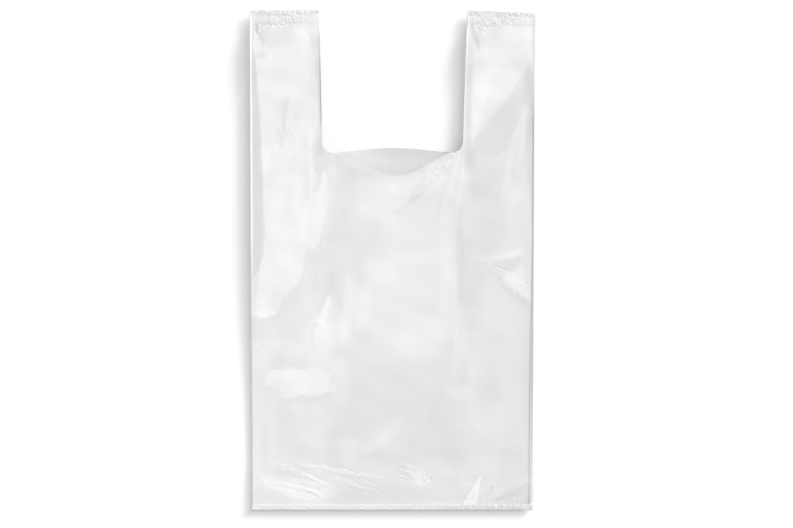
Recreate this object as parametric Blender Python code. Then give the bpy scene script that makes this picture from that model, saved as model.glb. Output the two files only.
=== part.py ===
"""Vest-style plastic carrier bag of thin white film, lying flat on its back.

The bag is one folded piece: a flattened tube of film with a gusset tucked into each side, welded
across the bottom and across the top of both handles, with the mouth cut out between the handles.
Metres. +X is to the right across the bag, +Y from the bottom weld to the handle tops, +Z up out of
the front panel. The origin is on the surface that the bag lies on, under the middle of the bag.
While a place is worked out, its y is the distance from the bottom edge, and only the finished
vertices are moved to the origin.
"""

import math

import bmesh
import bpy

# Overall size of the folded bag
BAG_WIDTH = 0.3040
BAG_LENGTH = 0.5330
BOTTOM_DRAW_IN = 0.0025  # how much nearer the middle each side fold lies at the bottom

# Handles and mouth
HANDLE_WIDTH = 0.0765
GUSSET_OVERHANG = 0.0035  # the gusset's inner fold past the cut, which so opens the handle as a loop
HANDLE_LENGTH = 0.1520  # lowest point of the cut-out to the handle tops
LEFT_HANDLE_FLARE = 0.0025  # how far the inner edge leans outwards over the handle's length
RIGHT_HANDLE_FLARE = 0.0045
RIGHT_TOP_SLANT = 0.0032  # drop of the right handle's top across its width
MOUTH_CORNER_RADIUS = 0.0120
BACK_LIP_RISE = 0.0050
FRONT_LIP_DIP = 0.0250

# Film and its layers
FILM = 0.00025
LAYER_CLEARANCE = 0.00025  # free gap between two layers that lie together

# Welds
BOTTOM_WELD_HEIGHT = 0.0075
HANDLE_WELD_HEIGHT = 0.0130
WELD_LAYER_GAP = 0.00005  # what is left of the gap between layers where they meet a weld
WELD_COVER = 0.00010  # fused film outside the outermost layer
WELD_RIPPLE = 0.00040
BOTTOM_RIPPLE_PITCH = 0.0098
HANDLE_RIPPLE_PITCH = 0.0052
FLAT_BY_WELD = 0.0015  # the film stays flat this far out of a weld
WELD_RUN_OUT = 0.0200  # length over which the layers part from one another

# Air left between the panels
CENTRE_LOFT = 0.0082
LIP_LOFT_SHARE = 0.60  # what is left of it at the left half of the mouth's lip
LIP_RUN_OUT = 0.0700  # length over which the front panel settles towards that lip
LOW_FOLD_LOFT = 0.0022  # at the side folds, low down
HIGH_FOLD_LOFT = 0.0064  # and by the mouth
HANDLE_LOFT = 0.0064
BOTTOM_RUN_OUT = 0.1500  # length over which the middle rises from the bottom weld
FOLD_RUN_OUT = 0.0600  # length over which the side folds rise from it
FOLD_RISE_START = 0.0600  # from here the side folds rise further, towards the mouth
FOLD_RISE_LENGTH = 0.2400
HANDLE_RUN_OUT = 0.0500  # length over which a handle thins towards its weld
BACK_LIP_LIFT = 0.0006  # how far the back panel's lip stands off the ground
BACK_LIP_LIFT_LENGTH = 0.0350
LIP_SIDE_BLEND = 0.0300  # from each handle's cut edge inwards, where the lip takes its own shape
BACK_POCKET_SHARE = 0.32  # part of the air that lies behind the gusset's inner fold

# Strip that bends down to the left edge of the body and of each handle
STRIP_SLOPE = 0.12  # rise over run
LEFT_STRIP_WIDTH = 0.0125  # at its widest, by the mouth
LEFT_STRIP_END_WIDTH = 0.0030  # at the handle's top and low down on the body
LEFT_STRIP_GROWTH = 0.1100  # length over which it widens upwards from the body
LEFT_STRIP_TAPER = 0.2200  # length over which it narrows towards the handle's top
RIGHT_STRIP_WIDTH = 0.0080
HANDLE_BLEND = 0.0450  # length over which the body's shape passes into the handles'

# The front's folds lie this much inside the back's on the right
LOW_FOLD_INSET = 0.0030
HIGH_FOLD_INSET = 0.0010

# Mesh density
HANDLE_COLUMNS = 8
BACK_HANDLE_COLUMNS = 3
CORNER_COLUMNS = 3
FRONT_LIP_COLUMNS = 6
BACK_LIP_COLUMNS = 2
FOLD_STEPS = 2
BODY_ROWS = 26
HANDLE_ROWS = 12
OUTER_COLUMN_BIAS = 1.35  # above 1, columns stand closer together towards the side folds
END_ROW_BIAS = 0.45  # share by which rows crowd towards the bottom and the mouth

LAYER_PITCH = FILM + LAYER_CLEARANCE
WELD_PITCH = FILM + WELD_LAYER_GAP
WELD_THICKNESS = 3 * WELD_PITCH + FILM + 2 * WELD_COVER
HALF_WIDTH = BAG_WIDTH / 2
HALF_LENGTH = BAG_LENGTH / 2
HANDLE_INNER = HALF_WIDTH - HANDLE_WIDTH
GUSSET_DEPTH = HANDLE_WIDTH + GUSSET_OVERHANG
GUSSET_INNER = HALF_WIDTH - GUSSET_DEPTH
CORNER_CENTRE = HANDLE_INNER - MOUTH_CORNER_RADIUS
MOUTH_LEVEL = BAG_LENGTH - HANDLE_LENGTH
SHOULDER_LEVEL = MOUTH_LEVEL + MOUTH_CORNER_RADIUS
FILM_START = BOTTOM_WELD_HEIGHT / 4
FILM_END_INSET = HANDLE_WELD_HEIGHT / 4
BOTTOM_FLAT = BOTTOM_WELD_HEIGHT + FLAT_BY_WELD
HANDLE_FLAT = HANDLE_WELD_HEIGHT + FLAT_BY_WELD
TRIM_START = 0.72  # share of the body's length from which its rows bend to follow the mouth


def smooth(value):
    """Eased step from 0 to 1."""
    t = min(1.0, max(0.0, value))
    return t * t * (3 - 2 * t)


def mix(low, high, share):
    return low + (high - low) * share


# Creases that the folding and packing of the bag has left in the front panel. Each runs from start
# to end like a spindle: its reach on either side grows from nothing and shrinks to nothing again,
# and over that reach its height falls evenly from its rise and runs out softly.
def crease(x, y, start, end, rise, left_reach, right_reach):
    run_x = end[0] - start[0]
    run_y = end[1] - start[1]
    length = math.hypot(run_x, run_y)
    along = ((x - start[0]) * run_x + (y - start[1]) * run_y) / length**2
    across = ((x - start[0]) * run_y - (y - start[1]) * run_x) / length
    taper = math.sqrt(min(1.0, max(1e-6, 4 * along * (1 - along))))
    reach = (right_reach if across > 0 else left_reach) * taper
    share = 1 - abs(across) / reach
    flank = (share + math.sqrt(share**2 + 0.015)) / 2
    return rise * taper * flank * smooth(1.6 + share)


def creases(x, y):
    """Height added to the front panel by its creases, each placed from the edges that it is near."""
    left, right, corner, mouth = -HALF_WIDTH, HALF_WIDTH, HANDLE_INNER, MOUTH_LEVEL
    left_diagonal = (left + 0.002, mouth - 0.209), (left + 0.098, mouth - 0.066)
    left_inner_fold = (left + 0.052, mouth - 0.161), (left + 0.087, mouth + 0.009)
    right_diagonal = (corner - 0.0205, mouth - 0.021), (right + 0.008, mouth + 0.110)
    right_inner_fold = (corner - 0.0109, mouth - 0.251), (corner - 0.0109, mouth + 0.029)
    lip_pull = (corner - 0.0575, mouth - 0.053), (corner - 0.0055, mouth + 0.007)
    side_tuck = (right - 0.040, mouth - 0.129), (right - 0.004, mouth - 0.161)
    hem_left = (left + 0.023, 0.051), (left + 0.078, 0.029)
    hem_right = (right - 0.076, 0.006), (right - 0.056, 0.040)
    return (
        crease(x, y, *left_diagonal, 0.0012, 0.040, 0.020)
        + crease(x, y, *left_inner_fold, 0.0012, 0.035, 0.016)
        + crease(x, y, *right_diagonal, 0.0014, 0.040, 0.022)
        + crease(x, y, *right_inner_fold, 0.0012, 0.060, 0.022)
        + crease(x, y, *lip_pull, 0.0007, 0.010, 0.010)
        + crease(x, y, *side_tuck, 0.0006, 0.014, 0.010)
        + crease(x, y, *hem_left, 0.0005, 0.008, 0.008)
        + crease(x, y, *hem_right, 0.0005, 0.008, 0.006)
    )


def share_of(value):
    return min(1.0, max(0.0, value))


def strip_width(x, y):
    """Width of the strip that bends down to the left edge of the body or of the right handle."""
    if x > 0:
        return RIGHT_STRIP_WIDTH
    growth = smooth((y - MOUTH_LEVEL / 2) / LEFT_STRIP_GROWTH)
    taper = smooth((BAG_LENGTH + BOTTOM_RUN_OUT / 5 - y) / LEFT_STRIP_TAPER)
    return mix(LEFT_STRIP_END_WIDTH, LEFT_STRIP_WIDTH, growth * taper)


def strip_rise(x, y, from_edge, far):
    """Rise over the strip from the left edge, which is lost again by the far side."""
    width = strip_width(x, y)
    lost = share_of((from_edge - width) / (far - width))
    return STRIP_SLOPE * min(from_edge, width) * (1 - lost)


def cut_edge(x, y):
    """Distance of a handle's cut edge from the middle line."""
    flare = LEFT_HANDLE_FLARE if x < 0 else RIGHT_HANDLE_FLARE
    return HANDLE_INNER + flare * share_of((y - SHOULDER_LEVEL) / (BAG_LENGTH - SHOULDER_LEVEL))


def between_handles(x):
    """1 across the mouth, eased to 0 at the handles' cut edges."""
    return smooth((HANDLE_INNER - abs(x)) / LIP_SIDE_BLEND)


def lip_share(x, y):
    """Share of the air left near the mouth's lip, least of all on its left half."""
    settled = smooth((y - MOUTH_LEVEL + FRONT_LIP_DIP + LIP_RUN_OUT) / LIP_RUN_OUT)
    across = smooth((x / HANDLE_INNER + 0.60) / 1.30)
    return 1 - (1 - mix(LIP_LOFT_SHARE, 1.0, across)) * settled * between_handles(x)


def air(x, y, side_x, top_y):
    """Height of the air under the front panel, over the stack of its layers."""
    from_fold = max(0.0, side_x - abs(x))
    from_bottom = max(0.0, y - BOTTOM_FLAT)
    up_share = smooth((y - FOLD_RISE_START) / FOLD_RISE_LENGTH)
    fold = mix(LOW_FOLD_LOFT, HIGH_FOLD_LOFT, up_share)
    fold *= 1 - (1 - share_of(from_bottom / FOLD_RUN_OUT)) ** 2
    bottom_share = 1 - (1 - share_of(from_bottom / BOTTOM_RUN_OUT)) ** 2
    centre = CENTRE_LOFT * bottom_share * lip_share(x, y)
    body = mix(fold, centre, smooth(from_fold / (1.25 * GUSSET_DEPTH)))
    if x < 0:
        body += up_share * strip_rise(x, y, from_fold, GUSSET_DEPTH)
    from_left = from_fold if x < 0 else max(0.0, x - cut_edge(x, y))
    handle = HANDLE_LOFT + strip_rise(x, y, from_left, HANDLE_WIDTH)
    handle_share = smooth((y - MOUTH_LEVEL + 0.010) / HANDLE_BLEND)
    top_share = 1 - (1 - share_of((top_y - HANDLE_FLAT - y) / HANDLE_RUN_OUT)) ** 2
    edge_fade = smooth(from_fold / 0.006) * smooth(from_bottom / 0.006)
    return max(0.0, top_share * (mix(body, handle, handle_share) + creases(x, y) * edge_fade))


def pocket_share(x, y, side_x):
    """How far the two gusset layers stand apart: 0 at their inner fold, 1 at the outer folds."""
    from_inner_fold = 1 - (side_x - abs(x)) / GUSSET_DEPTH
    open_handle = smooth((y - MOUTH_LEVEL) / (HANDLE_LENGTH / 4))
    return mix(min(1.0, max(0.0, from_inner_fold)), 1.0, open_handle)


def back_lip(x, y):
    """The back panel lifts off the ground towards its lip between the handles."""
    risen = smooth((y - MOUTH_LEVEL + 0.030) / BACK_LIP_LIFT_LENGTH)
    return BACK_LIP_LIFT * risen * between_handles(x)


def fold_inset(layer, x, y):
    """How far the front's fold on the right lies inside the back's: more so low down."""
    if x < 0 or layer < 2:
        return 0.0
    inset = mix(LOW_FOLD_INSET, HIGH_FOLD_INSET, smooth((y - 0.100) / 0.200))
    return inset * smooth(2 * x / HALF_WIDTH - 1)


def heights(x, y, side_x, top_y):
    """Mid-film heights of the back panel, back gusset layer, front gusset layer, front panel."""
    depth = air(x, y, side_x, top_y)
    share = pocket_share(x, y, side_x)
    to_weld = min(y - BOTTOM_FLAT, top_y - HANDLE_FLAT - y)
    welded = 1 - smooth(to_weld / WELD_RUN_OUT)
    pitch = mix(LAYER_PITCH, WELD_PITCH, welded)
    back = FILM / 2 + WELD_COVER * welded + back_lip(x, y)
    back_gusset = back + pitch + BACK_POCKET_SHARE * depth * (1 - share)
    front_gusset = back_gusset + pitch + depth * share
    front = back + 3 * pitch + depth
    return back, back_gusset, front_gusset, front


def lip_level(x, dip):
    """Cut edge of the mouth at x, for the panel whose middle lies lower by dip."""
    from_middle = min(1.0, abs(x) / CORNER_CENTRE)
    level = MOUTH_LEVEL - dip * (1 - from_middle**2) ** 1.5
    into_corner = max(0.0, abs(x) - CORNER_CENTRE)
    if into_corner >= MOUTH_CORNER_RADIUS:
        return SHOULDER_LEVEL
    drop = math.sqrt(MOUTH_CORNER_RADIUS**2 - into_corner**2)
    return level + MOUTH_CORNER_RADIUS - drop


def handle_stations(handle_columns):
    """Columns over a handle's width, from the outer fold up to its cut edge, which is left out."""
    outer = HALF_WIDTH - LAYER_PITCH / 2
    shares = [(i / handle_columns) ** OUTER_COLUMN_BIAS for i in range(handle_columns)]
    return [mix(outer, HANDLE_INNER, share) for share in shares]


def half_stations(handle_columns, lip_columns):
    """Columns of half a panel, from its outer fold to the middle line."""
    found = handle_stations(handle_columns)
    for i in range(CORNER_COLUMNS):
        turn = math.pi / 2 * (1 - i / CORNER_COLUMNS)
        found.append(CORNER_CENTRE + MOUTH_CORNER_RADIUS * math.sin(turn))
    found += [CORNER_CENTRE * (1 - i / lip_columns) for i in range(lip_columns)]
    return found


def gusset_stations(handle_columns):
    """Columns of a gusset layer, from its outer fold to its inner fold."""
    return handle_stations(handle_columns) + [HANDLE_INNER, GUSSET_INNER + LAYER_PITCH / 2]


def fold_turns():
    return [math.pi * i / FOLD_STEPS for i in range(1, FOLD_STEPS)]


def section_columns():
    """One turn round the folded tube as (layer, x, lead) columns.

    layer is 0 to 3 from the back panel up, as heights gives them. On a fold, layer lies between
    two of these, and lead is how far the fold's nose stands out beyond x.
    """
    front = half_stations(HANDLE_COLUMNS, FRONT_LIP_COLUMNS)
    back = half_stations(BACK_HANDLE_COLUMNS, BACK_LIP_COLUMNS)
    front_gusset = gusset_stations(HANDLE_COLUMNS)
    back_gusset = gusset_stations(BACK_HANDLE_COLUMNS)
    radius = LAYER_PITCH / 2

    def nose(side, x, low, turns, outwards):
        return [
            (low + (1 - math.cos(turn)) / 2, side * x, side * outwards * radius * math.sin(turn))
            for turn in turns
        ]

    outer = HALF_WIDTH - radius
    inner = GUSSET_INNER + radius
    up = fold_turns()
    down = [math.pi - turn for turn in up]
    turn_round = [(3, x, 0.0) for x in [-x for x in front] + [0.0] + front[::-1]]
    turn_round += nose(1, outer, 2, down, 1)
    turn_round += [(2, x, 0.0) for x in front_gusset]
    turn_round += nose(1, inner, 1, down, -1)
    turn_round += [(1, x, 0.0) for x in back_gusset[::-1]]
    turn_round += nose(1, outer, 0, down, 1)
    turn_round += [(0, x, 0.0) for x in back + [0.0] + [-x for x in back[::-1]]]
    turn_round += nose(-1, outer, 0, up, 1)
    turn_round += [(1, -x, 0.0) for x in back_gusset]
    turn_round += nose(-1, inner, 1, up, -1)
    turn_round += [(2, -x, 0.0) for x in front_gusset[::-1]]
    turn_round += nose(-1, outer, 2, up, 1)
    return turn_round


def side_fold(y):
    """Distance of the side folds from the middle line."""
    return HALF_WIDTH - BOTTOM_DRAW_IN * (1 - y / BAG_LENGTH)


def handle_top(x):
    if x < 0:
        return BAG_LENGTH
    return BAG_LENGTH - RIGHT_TOP_SLANT * (x - HANDLE_INNER) / HANDLE_WIDTH


def body_place(layer, x, row):
    """Where a body row crosses a column: its rows bend near the mouth to follow the cut edge."""
    if row == 0:
        return x, FILM_START
    even = (row - 1) / (BODY_ROWS - 1)
    share = mix(even, (1 - math.cos(math.pi * even)) / 2, END_ROW_BIAS)
    trim = smooth((share - TRIM_START) / (1 - TRIM_START))
    dip = mix(-BACK_LIP_RISE, FRONT_LIP_DIP, max(0.0, layer - 2))
    cut_away = SHOULDER_LEVEL - lip_level(x, dip)
    return x, mix(BOTTOM_FLAT, SHOULDER_LEVEL, share) - cut_away * trim


def handle_place(x, row):
    """Where a handle row crosses a column: the cut edge leans outwards on the way up."""
    top = handle_top(x)
    share = row / (HANDLE_ROWS - 1)
    y = mix(SHOULDER_LEVEL, top - HANDLE_FLAT, share) if row < HANDLE_ROWS else top - FILM_END_INSET
    flare = LEFT_HANDLE_FLARE if x < 0 else RIGHT_HANDLE_FLARE
    inwards = (HALF_WIDTH - abs(x)) / HANDLE_WIDTH
    return x + math.copysign(flare * min(1.0, share) * inwards, x), y


def film_point(layer, x, lead, row):
    """Point of the film's middle surface in one column, at a row from 0 to the last."""
    if row <= BODY_ROWS:
        place_x, y = body_place(layer, x, row)
        top = BAG_LENGTH
    else:
        place_x, y = handle_place(x, row - BODY_ROWS)
        top = handle_top(x)
    drawn_x = place_x * side_fold(y) / HALF_WIDTH - fold_inset(layer, place_x, y)
    levels = heights(drawn_x, y, side_fold(y), top)
    lower = math.floor(layer)
    upper = min(3, lower + 1)
    return (drawn_x + lead, y - HALF_LENGTH, mix(levels[lower], levels[upper], layer - lower))


def in_handle(x):
    return abs(x) >= HANDLE_INNER - 1e-9


def film_mesh():
    """The film's middle surface: the folded tube up to the mouth, then the two handles.

    Each cell is split by the diagonal that starts on its outer side below, so that layers that lie
    together are split alike and keep their gap.
    """
    columns = section_columns()
    mesh = bpy.data.meshes.new("carrier_bag")
    shape = bmesh.new()
    grid = {}
    for row in range(BODY_ROWS + HANDLE_ROWS + 1):
        for place, (layer, x, lead) in enumerate(columns):
            if row <= BODY_ROWS or in_handle(x):
                grid[row, place] = shape.verts.new(film_point(layer, x, lead, row))
    for row in range(BODY_ROWS + HANDLE_ROWS):
        for place in range(len(columns)):
            beside = (place + 1) % len(columns)
            corners = [(row, place), (row, beside), (row + 1, beside), (row + 1, place)]
            if not all(corner in grid for corner in corners):
                continue
            low, low_beside, high_beside, high = [grid[corner] for corner in corners]
            if abs(low.co.x) > abs(low_beside.co.x):
                shape.faces.new((low, low_beside, high_beside))
                shape.faces.new((low, high_beside, high))
            else:
                shape.faces.new((low, low_beside, high))
                shape.faces.new((low_beside, high_beside, high))
    shape.normal_update()
    shape.to_mesh(mesh)
    shape.free()
    mesh.shade_smooth()
    return mesh


def weld(name, low_x, high_x, edge_y, depth, pitch):
    """A flat strip of fused film with a rippled top, reaching inwards from the edge.

    edge_y gives the strip's outer edge at x, and depth is signed: up from the bottom of the bag,
    or down from the top of a handle.
    """
    steps = 2 * max(2, round((high_x - low_x) / pitch))
    across = (0.0, 0.5, 1.0)
    shape = bmesh.new()
    rings = []
    for i in range(steps + 1):
        x = mix(low_x, high_x, i / steps)
        edge = edge_y(x) - HALF_LENGTH
        ripple = WELD_RIPPLE * (i % 2) * (0.6 + 0.4 * math.sin(2.4 * i))
        upper = []
        for share in across:
            swell = ripple * (1.3 - (2 * share - 1) ** 2)
            upper.append(shape.verts.new((x, edge + depth * share, WELD_THICKNESS + swell)))
        lower = [shape.verts.new((x, edge + depth * share, 0.0)) for share in (1.0, 0.0)]
        rings.append(upper + lower)
    for one, other in zip(rings, rings[1:]):
        for i in range(len(one)):
            j = (i + 1) % len(one)
            shape.faces.new((one[i], one[j], other[j], other[i]))
    shape.faces.new(rings[0][::-1])
    shape.faces.new(rings[-1])
    bmesh.ops.recalc_face_normals(shape, faces=shape.faces)
    mesh = bpy.data.meshes.new(name)
    shape.to_mesh(mesh)
    shape.free()
    strip = bpy.data.objects.new(name, mesh)
    strip.hide_render = True
    strip.display_type = "WIRE"
    bpy.context.scene.collection.objects.link(strip)
    return strip


def bottom_edge(x):
    return 0.0


def welds():
    """The three welds: across the bottom, and across the top of each handle."""
    past_fold = FILM / 2 + WELD_COVER
    foot = side_fold(0.0) + past_fold
    outer = HALF_WIDTH + past_fold
    left = HANDLE_INNER + LEFT_HANDLE_FLARE - past_fold
    right = HANDLE_INNER + RIGHT_HANDLE_FLARE - past_fold
    return (
        weld("bottom_weld", -foot, foot, bottom_edge, BOTTOM_WELD_HEIGHT, BOTTOM_RIPPLE_PITCH),
        weld("left_weld", -outer, -left, handle_top, -HANDLE_WELD_HEIGHT, HANDLE_RIPPLE_PITCH),
        weld("right_weld", right, outer, handle_top, -HANDLE_WELD_HEIGHT, HANDLE_RIPPLE_PITCH),
    )


def film_material():
    material = bpy.data.materials.new("white_film")
    material.use_nodes = True
    surface = material.node_tree.nodes["Principled BSDF"]
    surface.inputs["Base Color"].default_value = (0.82, 0.82, 0.82, 1.0)
    surface.inputs["Roughness"].default_value = 0.25
    surface.inputs["Metallic"].default_value = 0.0
    return material


def carrier_bag():
    """The whole bag: film given its thickness, then fused with its welds."""
    bag = bpy.data.objects.new("carrier_bag", film_mesh())
    bpy.context.scene.collection.objects.link(bag)
    bag.data.materials.append(film_material())
    wall = bag.modifiers.new("film_thickness", "SOLIDIFY")
    wall.thickness = FILM
    wall.offset = 0.0
    wall.use_rim = True
    for strip in welds():
        join = bag.modifiers.new(strip.name, "BOOLEAN")
        join.operation = "UNION"
        join.solver = "EXACT"
        join.object = strip
    return bag


def clear_scene():
    for item in list(bpy.data.objects):
        bpy.data.objects.remove(item)


clear_scene()
carrier_bag()
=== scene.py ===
"""Looks of the plastic carrier bag: thin glossy film, lying flat under soft studio light.

Metres, in the frame of the solid model: +X to the right across the bag, +Y from the bottom weld to
the handle tops, +Z up. While a shape is worked out, y is the distance from the bottom edge. A stretch
is a pair of values, where a change starts and where it ends. Tables of places on the film are in mm.
"""

import math

import bpy
import numpy as np
from bpy.props import FloatProperty, FloatVectorProperty, PointerProperty
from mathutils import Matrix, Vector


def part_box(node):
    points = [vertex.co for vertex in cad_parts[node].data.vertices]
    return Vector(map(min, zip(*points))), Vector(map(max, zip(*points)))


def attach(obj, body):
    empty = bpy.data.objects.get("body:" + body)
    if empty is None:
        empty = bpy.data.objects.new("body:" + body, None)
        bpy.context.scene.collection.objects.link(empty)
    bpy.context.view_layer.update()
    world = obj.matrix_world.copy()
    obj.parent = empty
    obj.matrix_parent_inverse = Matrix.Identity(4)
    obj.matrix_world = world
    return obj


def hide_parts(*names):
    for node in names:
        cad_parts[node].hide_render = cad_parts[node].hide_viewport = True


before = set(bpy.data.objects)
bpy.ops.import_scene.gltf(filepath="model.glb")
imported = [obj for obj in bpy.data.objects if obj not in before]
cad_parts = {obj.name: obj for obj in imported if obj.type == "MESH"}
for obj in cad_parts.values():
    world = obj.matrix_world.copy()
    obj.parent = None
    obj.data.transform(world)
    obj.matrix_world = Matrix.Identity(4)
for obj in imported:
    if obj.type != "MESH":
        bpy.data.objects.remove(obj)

bl_info = {
    "name": "Plastic carrier bag",
    "version": (1, 0, 0),
    "blender": (4, 5, 0),
    "location": "3D View > Sidebar > Carrier bag",
    "description": "Builds a vest-style carrier bag of thin film, lying flat, and the stage under it",
    "category": "Object",
}

NODE = "carrier_bag"
BODY = "root"
TONE = "film_tone"
CRINKLE = "film_crinkle"
STRANDS = "film_strands"
SURFACE = "film_surface"
LOW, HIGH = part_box(NODE)
MM = 0.001

# Sizes shared with the solid model
BAG_WIDTH = 0.3040
BAG_LENGTH = HIGH.y - LOW.y
HALF_WIDTH = BAG_WIDTH / 2
HALF_LENGTH = BAG_LENGTH / 2
HANDLE_WIDTH = 0.0765
HANDLE_LENGTH = 0.1520
GUSSET_OVERHANG = 0.0035
LEFT_HANDLE_FLARE = 0.0025
RIGHT_HANDLE_FLARE = 0.0045
RIGHT_TOP_SLANT = 0.0032
MOUTH_CORNER_RADIUS = 0.0120
BACK_LIP_RISE = 0.0050
FRONT_LIP_DIP = 0.0250
BOTTOM_DRAW_IN = 0.0025
BOTTOM_WELD_HEIGHT = 0.0075
HANDLE_WELD_HEIGHT = 0.0130
FLAT_BY_WELD = 0.0015
WELD_RUN_OUT = 0.0200
LIP_SIDE_BLEND = 0.0300

HANDLE_INNER = HALF_WIDTH - HANDLE_WIDTH
GUSSET_DEPTH = HANDLE_WIDTH + GUSSET_OVERHANG
GUSSET_INNER = HALF_WIDTH - GUSSET_DEPTH
CORNER_CENTRE = HANDLE_INNER - MOUTH_CORNER_RADIUS
MOUTH_LEVEL = BAG_LENGTH - HANDLE_LENGTH
SHOULDER_LEVEL = MOUTH_LEVEL + MOUTH_CORNER_RADIUS
BOTTOM_FLAT = BOTTOM_WELD_HEIGHT + FLAT_BY_WELD
HANDLE_FLAT = HANDLE_WELD_HEIGHT + FLAT_BY_WELD

# The bag's ends stand off the ground
FOOT_LIFT = 0.0038
FOOT_LIFT_LENGTH = 0.0600
TOP_LIFT = 0.0065
TOP_LIFT_LENGTH = 0.0950

# Layers: 0 is the back panel, 1 and 2 are the gusset and 3 is the front panel
BACK_TO = 0.5
FRONT_FROM = 2.99
LAYER_PITCH = 0.00050
WELD_PITCH = 0.00030
BACK_LEVEL = 0.000125
WELD_COVER = 0.00010
WELD_THICKNESS = 3 * WELD_PITCH + 2 * BACK_LEVEL + 2 * WELD_COVER

# Rows and columns: of a panel's body and handles, and of a half panel's handle, corner and lip
FRONT_ROWS = (188, 62)
BACK_ROWS = (70, 24)
FRONT_COLUMNS = (62, 8, 24)
BACK_COLUMNS = (10, 6, 10)
GUSSET_COLUMNS = 14
FOLD_OVERLAP = 3


def smooth(value):
    """Eased step from 0 to 1."""
    t = np.clip(value, 0.0, 1.0)
    return t * t * (3 - 2 * t)


def mix(low, high, share):
    """Straight mix of two values."""
    return low + (high - low) * share


def eased(value, stretch):
    """Eased step from 0 at the start of a stretch to 1 at its end."""
    start, end = stretch
    return smooth((value - start) / (end - start))


def near(distance, reach):
    """1 on an edge, eased to 0 at that distance from it."""
    return smooth(1 - distance / reach)


def rounded(share):
    """Rise from 0 to 1, steep at first and level at its end: 1 less the square of what is left."""
    return 1 - (1 - np.clip(share, 0.0, 1.0)) ** 2


# Creases and crumples

FLANK_SOFTNESS = 0.015
FLANK_RUN_OUT = 1.6
SECOND_SET = 100


def crease(x, y, start, end, rise, left_reach, right_reach):
    """Ridge along a straight line, a spindle seen from above: its reach grows from nothing at one
    end and shrinks to nothing at the other, and on each side its height falls evenly over that
    side's reach and runs out softly."""
    run_x = end[0] - start[0]
    run_y = end[1] - start[1]
    length = math.hypot(run_x, run_y)
    along = ((x - start[0]) * run_x + (y - start[1]) * run_y) / length**2
    across = ((x - start[0]) * run_y - (y - start[1]) * run_x) / length
    taper = np.sqrt(np.clip(4 * along * (1 - along), 1e-6, 1.0))
    share = 1 - np.abs(across) / (np.where(across > 0, right_reach, left_reach) * taper)
    flank = (share + np.sqrt(share**2 + FLANK_SOFTNESS)) / 2
    return rise * taper * flank * smooth(FLANK_RUN_OUT + share)


def nearest_spot(x, y, spacing, seed):
    """Squared distance to the nearest of many scattered points, one in each square of a grid."""
    across = int(BAG_WIDTH / spacing) + 4
    along = int(BAG_LENGTH / spacing) + 4
    spots = np.random.default_rng(seed).random((across, along, 2))
    column = np.floor(x / spacing).astype(int) + across // 2
    row = np.floor(y / spacing).astype(int) + 1
    best = np.full(x.shape, np.inf)
    for step_x in (-1, 0, 1):
        for step_y in (-1, 0, 1):
            i = np.clip(column + step_x, 0, across - 1)
            j = np.clip(row + step_y, 0, along - 1)
            gap_x = x - (i - across // 2 + spots[i, j, 0]) * spacing
            gap_y = y - (j - 1 + spots[i, j, 1]) * spacing
            best = np.minimum(best, gap_x**2 + gap_y**2)
    return best


def crumple(x, y, spacing, stretched, seed):
    """Flat facets with sharp folds between them: the squared distance to the nearest of one set of
    scattered points, less that to the nearest of another set."""
    first = nearest_spot(x, y / stretched, spacing, seed)
    second = nearest_spot(x, y / stretched, spacing, seed + SECOND_SET)
    return (first - second) / spacing


# Creases: start, end, rise, and the reach of the sides left and right of the way to the end
CREASES = (
    # left gusset: lower edge of the bright patch
    ((-150, 172), (-54, 315), 0.7, 40, 20),
    # left inner fold showing through
    ((-100, 220), (-65, 390), 1.2, 35, 16),
    # right handle: long diagonal
    ((55, 360), (160, 491), 1.4, 40, 22),
    # right inner fold showing through
    ((64.6, 130), (64.6, 410), 1.2, 60, 22),
    # pulls from the right corner of the mouth
    ((18, 328), (72, 388), 1.1, 8, 5),
    ((0, 315.3), (64, 372), 0.7, 8, 6),
    ((48, 308), (70, 380), 0.5, 6, 4),
    ((64, 300), (76, 382), 0.3, 5, 4),
    # dents at the foot of the left handle
    ((-109, 445), (-116, 400), 0.4, 4, 3),
    ((-123, 415), (-112, 382), 0.3, 3, 4),
    ((-80, 425), (-86, 395), 0.3, 3, 3),
    ((-89, 333), (-89, 408), 0.5, 10, 6),
    ((-118, 380), (-106, 445), 0.4, 6, 6),
    # flames below the left gusset patch
    ((-86, 180), (-66, 240), 0.5, 7, 10),
    ((-56, 170), (-48, 260), 0.5, 10, 10),
    # patch at the lower left
    ((-150, 150), (-110, 110), 0.1, 16, 7),
    ((-120, 118), (-60, 126), 0.5, 16, 7),
    # facets on the right
    ((112, 252), (148, 220), 0.6, 14, 6),
    ((88, 265), (143, 272), 0.4, 6, 6),
    ((130, 355), (143, 445), 0.6, 8, 6),
    ((112, 320), (134, 430), 0.5, 8, 8),
    # folds above the bottom weld
    ((-129, 51), (-74, 29), 0.2, 3, 2.5),
    ((-105, 48), (-10, 34), 0.18, 3, 3),
    ((-95, 42), (-15, 17), 0.15, 3, 3),
    ((-142, 36), (-60, 10), 0.22, 3, 2.5),
    ((-135, 35), (-60, 23), 0.2, 3, 2.5),
    # soft slanting pull and the spikes at the lower right
    ((-50, 66), (15, 100), 0.3, 10, 10),
    ((76, 6), (96, 40), 0.5, 5, 3),
    ((90, 8), (108, 34), 0.3, 2, 2),
    ((98, 6), (152, 34), 0.6, 6, 8),
)

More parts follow.
